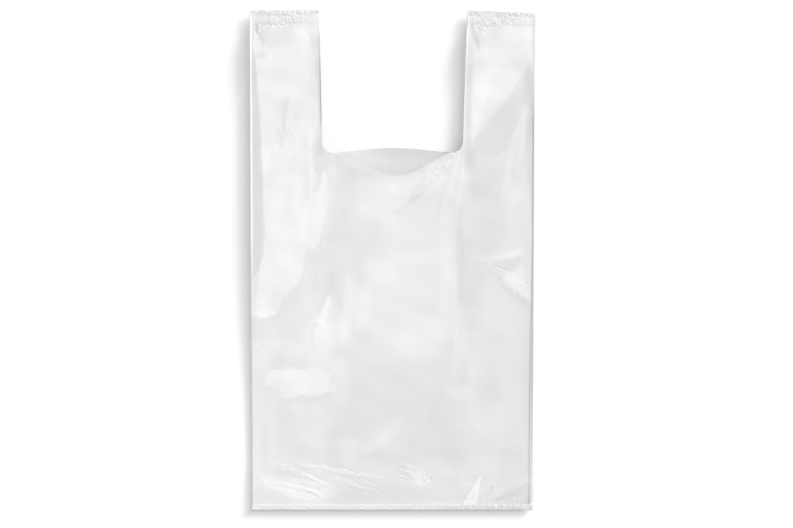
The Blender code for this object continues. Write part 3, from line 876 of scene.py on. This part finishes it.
def fold_nose(side, x, low, steps, outwards, rising):
    """Columns round a fold between layer low and the next: a half circle seen from its end."""
    turns = np.linspace(0.0, math.pi, steps + 2)[1:-1]
    if not rising:
        turns = turns[::-1]
    layer = low + (1 - np.cos(turns)) / 2
    lead = side * outwards * LAYER_PITCH / 2 * np.sin(turns)
    return np.stack([layer, np.full(steps, side * x), lead])


def run_of(layer, xs):
    """Columns of one layer, as its number, x and a lead of nothing."""
    return np.stack([np.full(len(xs), float(layer)), xs, np.zeros(len(xs))])


def fold_inset(layer, x, y, sizes):
    """How far the front panel's fold lies inside the back panel's: more to the right and low down."""
    inset = mix(sizes.low_inset, sizes.high_inset, eased(y, INSET_SHRINKS))
    share = np.where(layer > INSET_LAYERS_FROM, eased(np.abs(x) / HALF_WIDTH, INSET_FROM_MIDDLE), 0.0)
    return np.where(x > 0, inset, 0.0) * share


def film_grid(columns, rows, sizes):
    """Grid of points over columns given as (layer, x, lead): rows crowd towards the bottom and the
    mouth, bend to follow the mouth's cut edge, and above it run on in the handles alone."""
    layer, x, lead = columns
    body_rows, handle_rows = rows
    even = np.linspace(0.0, 1.0, body_rows)[:, None]
    share = mix(even**BODY_ROW_CROWDING, (1 - np.cos(math.pi * even)) / 2, END_ROW_CROWDING)
    dip = mix(-BACK_LIP_RISE, FRONT_LIP_DIP, np.maximum(0.0, layer - 2))
    cut_away = SHOULDER_LEVEL - lip_level(x, dip)
    body_y = mix(BOTTOM_FLAT, SHOULDER_LEVEL, share) - cut_away * eased(share, BEND_TO_LIP)
    foot_y = np.full((1, len(x)), LAST_ROW_INTO_WELD * BOTTOM_WELD_HEIGHT)
    up = np.linspace(0.0, 1.0, handle_rows)[1:, None]
    top = handle_top(x)
    handle_y = np.concatenate([
        mix(SHOULDER_LEVEL, top - HANDLE_FLAT, 1 - (1 - up) ** HANDLE_ROW_CROWDING),
        (top - LAST_ROW_INTO_WELD * HANDLE_WELD_HEIGHT)[None, :],
    ])
    flare = np.where(x < 0, LEFT_HANDLE_FLARE, RIGHT_HANDLE_FLARE)
    inwards = (HALF_WIDTH - np.abs(x)) / HANDLE_WIDTH
    lean = np.concatenate([up, [[1.0]]]) * flare * inwards * np.sign(x)
    flat_x = np.concatenate([np.tile(x, (body_rows + 1, 1)), x + lean])
    y = np.concatenate([foot_y, body_y, handle_y])
    fold_x = flat_x * side_fold(y) / HALF_WIDTH
    drawn_x = fold_x - fold_inset(layer, flat_x, y, sizes)
    tops = np.where(np.arange(len(y))[:, None] > body_rows, top, BAG_LENGTH)
    z = level(np.broadcast_to(layer, y.shape), drawn_x, y, tops, sizes)
    points = np.stack([drawn_x + lead, y - HALF_LENGTH, z], axis=-1)
    kept = np.ones(y.shape, bool)
    kept[body_rows + 1:] = np.abs(x) >= HANDLE_INNER - 1e-9
    return points, kept, film_marks(layer, fold_x, drawn_x, y, tops)


def film_marks(layer, fold_x, x, y, tops):
    """The tone of each point, mostly painted light and shade, and how strongly it is crinkled and
    stranded.
    """
    tone = edge_lines_and_painted_light(layer, fold_x, y) + np.where(layer < BACK_TO, painted_shade_of_mouth(x, y), 0.0)
    front = layer > FRONT_FROM
    if not front.any():
        return {TONE: tone, CRINKLE: np.zeros(y.shape), STRANDS: np.zeros(y.shape)}
    return {
        TONE: tone + np.where(front, painted_light_of_film(x, y) + tone_by_weld(x, y, tops), 0.0),
        CRINKLE: np.where(front, strength_of(CRUMPLED, x, y), 0.0),
        STRANDS: np.where(front, strength_of(STRANDED, x, y), 0.0),
    }


def mark(piece, marks):
    """Keep each point's tone and how strongly it is crinkled with the mesh."""
    for label, values in marks.items():
        piece.data.attributes.new(label, "FLOAT", "POINT").data.foreach_set("value", values)


def mesh_object(name, points, faces):
    """Smoothly shaded mesh object at the origin."""
    mesh = bpy.data.meshes.new(name)
    mesh.from_pydata(points.tolist(), [], faces)
    mesh.shade_smooth()
    piece = bpy.data.objects.new(name, mesh)
    bpy.context.scene.collection.objects.link(piece)
    return piece


def grid_mesh(name, points, kept, marks):
    """Quads over the kept points of a grid, as one mesh object that carries their marks."""
    number = np.full(kept.shape, -1)
    number[kept] = np.arange(kept.sum())
    whole = kept[:-1, :-1] & kept[:-1, 1:] & kept[1:, :-1] & kept[1:, 1:]
    corners = (number[:-1, :-1], number[:-1, 1:], number[1:, 1:], number[1:, :-1])
    faces = np.stack([corner[whole] for corner in corners], axis=-1)
    piece = mesh_object(name, points[kept], faces.tolist())
    mark(piece, {label: values[kept] for label, values in marks.items()})
    return piece


def give_thickness(piece, thickness):
    """The film's wall, half of it to each side of the surface, with flat rims."""
    wall = piece.modifiers.new("film_thickness", "SOLIDIFY")
    wall.thickness = thickness
    wall.offset = 0.0
    wall.use_rim = True
    flat_rims = piece.modifiers.new("flat_rims", "WEIGHTED_NORMAL")
    flat_rims.weight = 90


def gusset_stations():
    """Columns of a gusset layer, from its outer fold in to its inner fold."""
    return np.linspace(HALF_WIDTH - LAYER_PITCH / 2, GUSSET_INNER + LAYER_PITCH / 2, GUSSET_COLUMNS)


def front_columns():
    """The front panel, both of its folds and the start of the gussets."""
    half = stations(*FRONT_COLUMNS)
    turned_in = gusset_stations()[:FOLD_OVERLAP]
    outer = turned_in[0]
    return np.concatenate([
        run_of(2, -turned_in[::-1]),
        fold_nose(-1, outer, 2, 3, 1, True),
        run_of(3, -half),
        run_of(3, np.concatenate([[0.0], half[::-1]])),
        fold_nose(1, outer, 2, 3, 1, False),
        run_of(2, turned_in),
    ], axis=1)


def back_columns():
    """The back panel and both gussets, up to where the front's film takes over."""
    half = stations(*BACK_COLUMNS)
    gusset = gusset_stations()
    outer, inner = gusset[0], gusset[-1]
    front_layer = gusset[FOLD_OVERLAP - 1:]
    return np.concatenate([
        run_of(2, front_layer),
        fold_nose(1, inner, 1, 3, -1, False),
        run_of(1, gusset[::-1]),
        fold_nose(1, outer, 0, 3, 1, False),
        run_of(0, half),
        run_of(0, np.concatenate([[0.0], -half[::-1]])),
        fold_nose(-1, outer, 0, 3, 1, True),
        run_of(1, -gusset),
        fold_nose(-1, inner, 1, 3, -1, True),
        run_of(2, -front_layer[::-1]),
    ], axis=1)


# The welds

# Wrinkles of the shrunk film: how many waves, and the range of their turns, lengths and heights
WRINKLE_WAVES = 9
WRINKLE_TURNS = (25, 155)
WRINKLE_LENGTHS = (0.7, 2.6)
WRINKLE_HEIGHTS = (0.4, 1.0)
WRINKLE_BASE = 0.5
WRINKLE_BEND = 0.6
WRINKLE_BEND_ACROSS = 4.1
WRINKLE_BEND_ALONG = 2.3
WRINKLES_RUN_ON = 0.007

# Each kind of weld: the pitch, rise and seed of its wrinkles, the share of its height from which it
# thins inwards, and its columns and rows
BOTTOM_WRINKLES = (0.0022, 0.0002, 3)
HANDLE_WRINKLES = (0.0017, 0.0002, 11)
BOTTOM_THINS_FROM = 0.60
HANDLE_THINS_FROM = 0.20
BOTTOM_WELD_GRID = (520, 18)
HANDLE_WELD_GRID = (240, 50)
WELD_THINS_TO = 1.05
WELD_THIN_IN = 0.0009
WELD_WRINKLES_FADE = (-0.035, 0.065)

# Tones and patterns of the welds
HANDLE_WELD_TONE = 2.0
BOTTOM_WELD_TONE = 0.1
BOTTOM_WELD_GREYS = 0.4
BOTTOM_WELD_UPPER_END = (6 / 11, 1.0)
BOTTOM_WELD_END_TONE = -1.0
BOTTOM_CRINKLES = (0.15, 0.90)
BOTTOM_CRINKLES_GROW = (-0.02, 0.10)
WELD_STRANDS = 0.3
BOTTOM_STRANDS_GROW = (0.06, -0.04)


def folded_wave(phase):
    """Triangle wave from -1 to 1."""
    return 2 * np.abs(2 * (phase - np.floor(phase + 0.5))) - 1


def shrink_wrinkles(x, y, pitch, seed):
    """Fine heat-shrunk wrinkles: the sum of triangle waves that run in scattered directions."""
    scatter = np.random.default_rng(seed)
    total = np.zeros(x.shape)
    for _ in range(WRINKLE_WAVES):
        turn = math.radians(scatter.uniform(*WRINKLE_TURNS))
        wave = pitch * scatter.uniform(*WRINKLE_LENGTHS)
        slow = x / (WRINKLE_BEND_ACROSS * pitch) + y / (WRINKLE_BEND_ALONG * pitch)
        bend = WRINKLE_BEND * np.sin(slow + scatter.uniform(0, 6))
        phase = (x * math.sin(turn) + y * math.cos(turn)) / wave + bend + scatter.uniform(0, 1)
        total += wave / pitch * folded_wave(phase) * scatter.uniform(*WRINKLE_HEIGHTS)
    return total / WRINKLE_WAVES


def wrinkled_height(x, y, wrinkles):
    """Height of wrinkles of that pitch, rise and seed, which go up and down about a base level."""
    pitch, rise, seed = wrinkles
    return rise * (WRINKLE_BASE + shrink_wrinkles(x, y, pitch, seed))


def weld_strip(name, ends, edge_y, height, wrinkles, thins_from, grid, marks_of):
    """Closed strip of fused film: its section is carried along the edge, with a wrinkled top that
    thins inwards. Its height is negative where it lies below its edge."""
    columns, rows = grid
    x, share = np.meshgrid(np.linspace(*ends, columns), np.linspace(0.0, 1.0, rows), indexing="ij")
    y = edge_y(x) + height * share
    wrinkled = wrinkled_height(x, y, wrinkles) * eased(share, WELD_WRINKLES_FADE)
    top = WELD_THICKNESS + wrinkled - WELD_THIN_IN * eased(share, (thins_from, WELD_THINS_TO))
    upper = np.stack([x, y - HALF_LENGTH, top + lift(y)], axis=-1)
    lower = np.stack([x, y - HALF_LENGTH, lift(y)], axis=-1)[:, ::-1]
    ring = np.concatenate([upper, lower], axis=1)
    number = np.arange(columns * 2 * rows).reshape(columns, 2 * rows)
    beside = np.roll(number, -1, axis=1)
    quads = np.stack([number[:-1], beside[:-1], beside[1:], number[1:]], axis=-1).reshape(-1, 4)
    faces = quads.tolist() + [number[0][::-1].tolist(), number[-1].tolist()]
    if height < 0:
        faces = [face[::-1] for face in faces]
    points = ring.reshape(-1, 3)
    piece = mesh_object(name, points, faces)
    mark(piece, marks_of(points[:, 0], points[:, 1] + HALF_LENGTH))
    return piece


def bottom_weld_marks(x, y):
    """The bottom weld is crinkled most on the right, has strands on the left, and is greyer to the
    right and by its upper end."""
    upper_end = eased(y / BOTTOM_WELD_HEIGHT, BOTTOM_WELD_UPPER_END)
    tone = BOTTOM_WELD_TONE - BOTTOM_WELD_GREYS * x / HALF_WIDTH + BOTTOM_WELD_END_TONE * upper_end
    return {
        TONE: tone,
        CRINKLE: mix(*BOTTOM_CRINKLES, eased(x, BOTTOM_CRINKLES_GROW)),
        STRANDS: WELD_STRANDS * eased(x, BOTTOM_STRANDS_GROW),
    }


def handle_weld_marks(x, y):
    """The handle welds are white and crinkled all over."""
    return {
        TONE: np.full(x.shape, HANDLE_WELD_TONE),
        CRINKLE: np.ones(x.shape),
        STRANDS: np.full(x.shape, WELD_STRANDS),
    }


# The film's material

# Noise: scale, detail and roughness
CLOUDS = (22.0, 5.0, 0.70)
RIPPLES = (90.0, 4.0, 0.50)
RIPPLE_STRENGTH = 0.25
RIPPLE_DEPTH = 0.0006
CLOUD_SHADE = 0.95
FILM_IOR = 1.54
# Two sets of strands each: their turn in degrees, and their length and width
CRINKLE_STRANDS = ((42.0, 0.0065, 0.0022), (100.0, 0.0050, 0.0024))
LONG_STRANDS = ((-14.0, 0.0300, 0.0022), (-24.0, 0.0200, 0.0024))
STRAND_DEPTH = 0.010
STRAND_NOISE = (1.0, 3.0, 0.6)
STRAND_DISTORTION = 0.6


def math_node(tree, operation, *values):
    """Result of a math node, fed by links or by plain numbers."""
    node = tree.nodes.new("ShaderNodeMath")
    node.operation = operation
    for value, socket in zip(values, node.inputs):
        if isinstance(value, bpy.types.NodeSocket):
            tree.links.new(value, socket)
        else:
            socket.default_value = value
    return node.outputs[0]


def noise(tree, vector, looks, distortion=0.0):
    """Noise of that scale, detail and roughness over a vector."""
    node = tree.nodes.new("ShaderNodeTexNoise")
    for label, value in zip(("Scale", "Detail", "Roughness", "Distortion"), (*looks, distortion)):
        node.inputs[label].default_value = value
    tree.links.new(vector, node.inputs["Vector"])
    return node.outputs["Fac"]


def bump(tree, height, strength, distance):
    """Bump node for that height."""
    node = tree.nodes.new("ShaderNodeBump")
    node.inputs["Strength"].default_value = strength
    node.inputs["Distance"].default_value = distance
    tree.links.new(height, node.inputs["Height"])
    return node


def mark_value(tree, label):
    """Value kept with the mesh under that name."""
    node = tree.nodes.new("ShaderNodeAttribute")
    node.attribute_name = label
    return node.outputs["Fac"]


def strand_height(tree, place, turn, length, width):
    """Height of hair-like strands that run at that turn, in degrees: noise drawn out lengthwise."""
    drawn = tree.nodes.new("ShaderNodeMapping")
    drawn.vector_type = "TEXTURE"
    drawn.inputs["Rotation"].default_value = (0.0, 0.0, math.radians(turn))
    drawn.inputs["Scale"].default_value = (length, width, STRAND_DEPTH)
    tree.links.new(place, drawn.inputs["Vector"])
    return noise(tree, drawn.outputs["Vector"], STRAND_NOISE, STRAND_DISTORTION)


def masked_height(tree, place, label, runs):
    """Height of two sets of strands together, level on average, where the mesh is marked for them."""
    both = math_node(tree, "ADD", *[strand_height(tree, place, *run) for run in runs])
    return math_node(tree, "MULTIPLY", math_node(tree, "SUBTRACT", both, 1.0), mark_value(tree, label))


def film_material(looks):
    """Milky white film under a clear gloss: a cloudy tint, whiter or greyer by the tone kept with the
    mesh, which is mostly painted light and shade, with fine ripples all over and crinkles and strands
    where the mesh is marked for them."""
    material = bpy.data.materials.new(SURFACE)
    material.use_nodes = True
    tree = material.node_tree
    surface = tree.nodes["Principled BSDF"]
    surface.inputs["Roughness"].default_value = looks.roughness
    surface.inputs["IOR"].default_value = FILM_IOR
    surface.inputs["Coat Weight"].default_value = looks.coat
    surface.inputs["Coat Roughness"].default_value = looks.coat_roughness
    place = tree.nodes.new("ShaderNodeTexCoord").outputs["Object"]
    tint = tree.nodes.new("ShaderNodeMix")
    tint.data_type = "RGBA"
    tint.inputs["A"].default_value = (*[c * CLOUD_SHADE for c in looks.film_colour], 1.0)
    tint.inputs["B"].default_value = (*looks.film_colour, 1.0)
    tree.links.new(noise(tree, place, CLOUDS), tint.inputs["Factor"])
    toned = tree.nodes.new("ShaderNodeVectorMath")
    toned.operation = "SCALE"
    # Painted light and shade: the tone kept with the mesh scales the base colour
    share = math_node(tree, "MULTIPLY_ADD", mark_value(tree, TONE), looks.tone_step, 1.0)
    tree.links.new(tint.outputs["Result"], toned.inputs[0])
    tree.links.new(share, toned.inputs["Scale"])
    tree.links.new(toned.outputs[0], surface.inputs["Base Color"])
    ripples = bump(tree, noise(tree, place, RIPPLES), RIPPLE_STRENGTH, RIPPLE_DEPTH)
    crinkled = masked_height(tree, place, CRINKLE, CRINKLE_STRANDS)
    stranded = masked_height(tree, place, STRANDS, LONG_STRANDS)
    crinkles = bump(tree, math_node(tree, "ADD", crinkled, stranded), 1.0, looks.crinkle_depth)
    tree.links.new(ripples.outputs["Normal"], crinkles.inputs["Normal"])
    tree.links.new(crinkles.outputs["Normal"], surface.inputs["Normal"])
    return material


def dress(piece):
    """Give a piece the one film material and the body that it rides on, and hide the solid's mesh."""
    film = bpy.data.materials.get(SURFACE) or film_material(bpy.context.scene.bag_looks)
    piece.data.materials.append(film)
    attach(piece, BODY)
    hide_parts(NODE)


# Settings


def metres(name, description, default):
    """Setting for a length in metres."""
    return FloatProperty(name=name, description=description, default=default, unit="LENGTH")


class BagShape(bpy.types.PropertyGroup):
    """How the film lies"""

    film: metres("Film", "Thickness of the film", 0.00012)
    centre_loft: metres("Centre loft", "Air under the middle", 0.0082)
    low_fold: metres("Low fold", "Air at the side folds, low down", 0.0021)
    high_fold: metres("High fold", "Air at the side folds by the mouth", 0.0064)
    handle_loft: metres("Handle loft", "Air in the handles", 0.0064)
    bottom_run: metres("Bottom run", "Length of the rise from the bottom", 0.150)
    top_run: metres("Top run", "Length of the rise from the handle welds", 0.050)
    low_inset: metres("Low inset", "Front fold inside the back one, low", 0.0030)
    high_inset: metres("High inset", "Front fold inside the back one, high", 0.0010)
    curl_rise: metres("Curl", "Rise of the film's edges", 0.0006)
    curl_reach: metres("Curl reach", "How far in the edges rise", 0.0011)
    swell_rise: metres("Waves", "Height of the soft waves", 0.0003)
    crease_rise: FloatProperty(name="Creases", description="Height of the creases", default=1.0)
    facet_rise: FloatProperty(name="Facets", description="Height of the facets", default=0.014)
    lip_share: FloatProperty(name="Lip", description="Share of the loft left at the lip", default=0.60)
    strip_slope: FloatProperty(
        name="Side strip", description="Slope by the left edges", default=0.12, subtype="ANGLE"
    )


class BagLooks(bpy.types.PropertyGroup):
    """How the film looks"""

    film_colour: FloatVectorProperty(
        name="Film", description="Colour of the film", default=(0.838, 0.838, 0.840), subtype="COLOR"
    )
    roughness: FloatProperty(name="Roughness", description="Roughness of the film", default=0.42)
    # Painted light and shade: how much the base colour changes per unit of the tone kept with the mesh
    tone_step: FloatProperty(name="Tone", description="Change of tone per unit of painted_light_and_shade", default=0.07)
    crinkle_depth: metres("Crinkles", "Depth of the fine crinkles", 0.0016)
    coat: FloatProperty(name="Gloss", description="Share of the clear gloss", default=0.5)
    coat_roughness: FloatProperty(
        name="Gloss roughness", description="Roughness of the gloss", default=0.24
    )


class BagStage(bpy.types.PropertyGroup):
    """The view, and each light's share of the floor's light"""

    frame_width: metres("View width", "Width seen", 0.8465)
    camera_height: metres("Camera height", "Over the floor", 5.0)
    camera_x: metres("Camera x", "Aim across the bag", 0.0043)
    camera_y: metres("Camera y", "Aim along the bag", -0.0043)
    key_level: FloatProperty(name="Key", description="Share from the key on the right", default=0.53)
    soft_level: FloatProperty(name="Soft", description="Share from the soft light", default=0.07)
    fill_level: FloatProperty(name="Fill", description="Share from the fill at the left", default=0.11)
    sky_level: FloatProperty(name="Surround", description="Share from the surround", default=0.29)


# The pieces


class BAG_OT_front(bpy.types.Operator):
    """Build the front panel with the front layer of both gussets"""

    bl_idname = "bag.front"
    bl_label = "Front film"

    def execute(self, context):
        sizes = context.scene.bag_shape
        piece = grid_mesh("front_film", *film_grid(front_columns(), FRONT_ROWS, sizes))
        give_thickness(piece, sizes.film)
        dress(piece)
        return {"FINISHED"}


class BAG_OT_back(bpy.types.Operator):
    """Build the back panel with the back layer of both gussets"""

    bl_idname = "bag.back"
    bl_label = "Back film"

    def execute(self, context):
        sizes = context.scene.bag_shape
        piece = grid_mesh("back_film", *film_grid(back_columns(), BACK_ROWS, sizes))
        give_thickness(piece, sizes.film)
        dress(piece)
        return {"FINISHED"}


class BAG_OT_welds(bpy.types.Operator):
    """Build the welds across the bottom and the handle tops"""

    bl_idname = "bag.welds"
    bl_label = "Welds"

    def execute(self, context):
        past_fold = BACK_LEVEL + WELD_COVER
        foot = side_fold(0.0) + past_fold
        outer = HALF_WIDTH + past_fold
        left = HANDLE_INNER + LEFT_HANDLE_FLARE - past_fold
        right = HANDLE_INNER + RIGHT_HANDLE_FLARE - past_fold
        dress(weld_strip(
            "bottom_weld", (-foot, foot), np.zeros_like, BOTTOM_WELD_HEIGHT,
            BOTTOM_WRINKLES, BOTTOM_THINS_FROM, BOTTOM_WELD_GRID, bottom_weld_marks,
        ))
        for name, ends in (("left_weld", (-outer, -left)), ("right_weld", (right, outer))):
            dress(weld_strip(
                name, ends, handle_top, -HANDLE_WELD_HEIGHT,
                HANDLE_WRINKLES, HANDLE_THINS_FROM, HANDLE_WELD_GRID, handle_weld_marks,
            ))
        return {"FINISHED"}


# The stage

WHITE = (1.0, 1.0, 1.0, 1.0)
FLOOR_COLOUR = (0.88, 0.88, 0.88, 1.0)
FLOOR_ROUGHNESS = 0.9
FLOOR_GLOW = 0.17
FLOOR_CORNERS = ((-4, -4, 0), (4, -4, 0), (4, 4, 0), (-4, 4, 0))
SENSOR_WIDTH = 36.0
VIEW_REACH = 20.0
# Far lights: azimuth, elevation and spread in degrees, the level that they share, and their share
LIGHTS = {
    "key_light": (42.0, 20.0, 20.0, "key_level", 0.6),
    "high_key_light": (42.0, 45.0, 40.0, "key_level", 0.4),
    "soft_light": (135.0, 76.0, 30.0, "soft_level", 1.0),
    "fill_light": (215.0, 30.0, 50.0, "fill_level", 1.0),
}


def far_light(name, azimuth, elevation, spread, strength):
    """Large, far softbox: a disc spread wide that gives a level floor that share of its light."""
    lamp = bpy.data.lights.new(name, "SUN")
    lamp.angle = math.radians(spread)
    lamp.energy = math.pi * strength / math.sin(math.radians(elevation))
    lamp_object = bpy.data.objects.new(name, lamp)
    lamp_object.rotation_euler = (0.0, math.radians(90 - elevation), math.radians(azimuth))
    bpy.context.scene.collection.objects.link(lamp_object)


def floor_material():
    """Pale matt floor that glows a little where it is seen straight, in gloss or through film."""
    material = bpy.data.materials.new("studio_floor")
    material.use_nodes = True
    tree = material.node_tree
    surface = tree.nodes["Principled BSDF"]
    surface.inputs["Base Color"].default_value = FLOOR_COLOUR
    surface.inputs["Roughness"].default_value = FLOOR_ROUGHNESS
    surface.inputs["Emission Color"].default_value = WHITE
    path = tree.nodes.new("ShaderNodeLightPath").outputs
    seen = math_node(tree, "MAXIMUM", path["Is Camera Ray"], path["Is Glossy Ray"])
    seen = math_node(tree, "MAXIMUM", seen, path["Is Transmission Ray"])
    glow = math_node(tree, "MULTIPLY", seen, FLOOR_GLOW)
    tree.links.new(glow, surface.inputs["Emission Strength"])
    return material


class BAG_OT_stage(bpy.types.Operator):
    """Lay out the floor, the lights and the camera"""

    bl_idname = "bag.stage"
    bl_label = "Stage"

    def execute(self, context):
        scene = context.scene
        looks = scene.bag_stage
        floor = mesh_object("floor", np.array(FLOOR_CORNERS), [[0, 1, 2, 3]])
        floor.data.materials.append(floor_material())
        for name, (azimuth, elevation, spread, level_name, share) in LIGHTS.items():
            far_light(name, azimuth, elevation, spread, share * getattr(looks, level_name))
        world = bpy.data.worlds.new("studio")
        world.use_nodes = True
        world.node_tree.nodes["Background"].inputs["Color"].default_value = WHITE
        world.node_tree.nodes["Background"].inputs["Strength"].default_value = looks.sky_level
        scene.world = world
        scene.view_settings.view_transform = "Standard"
        camera = bpy.data.cameras.new("camera")
        camera.sensor_width = SENSOR_WIDTH
        camera.lens = SENSOR_WIDTH * looks.camera_height / looks.frame_width
        camera.clip_end = VIEW_REACH
        camera_object = bpy.data.objects.new("camera", camera)
        camera_object.location = (looks.camera_x, looks.camera_y, looks.camera_height)
        scene.collection.objects.link(camera_object)
        scene.camera = camera_object
        return {"FINISHED"}


class BAG_PT_panel(bpy.types.Panel):
    """Lists the steps that build the bag"""

    bl_idname = "BAG_PT_panel"
    bl_label = "Carrier bag"
    bl_space_type = "VIEW_3D"
    bl_region_type = "UI"
    bl_category = "Carrier bag"

    def draw(self, context):
        for step in STEPS:
            self.layout.operator(step.bl_idname)


STEPS = (BAG_OT_front, BAG_OT_back, BAG_OT_welds, BAG_OT_stage)
GROUPS = (("bag_shape", BagShape), ("bag_looks", BagLooks), ("bag_stage", BagStage))


def register():
    """Add the settings, the operators and the panel."""
    for name, group in GROUPS:
        bpy.utils.register_class(group)
        setattr(bpy.types.Scene, name, PointerProperty(type=group))
    for step in (*STEPS, BAG_PT_panel):
        bpy.utils.register_class(step)


def unregister():
    """Take the settings, the operators and the panel away again."""
    for step in (*STEPS, BAG_PT_panel):
        bpy.utils.unregister_class(step)
    for name, group in GROUPS:
        delattr(bpy.types.Scene, name)
        bpy.utils.unregister_class(group)


def main():
    """Build the bag and its stage."""
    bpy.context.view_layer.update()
    register()
    bpy.ops.bag.front()
    bpy.ops.bag.back()
    bpy.ops.bag.welds()
    bpy.ops.bag.stage()


if __name__ == "__main__":
    main()
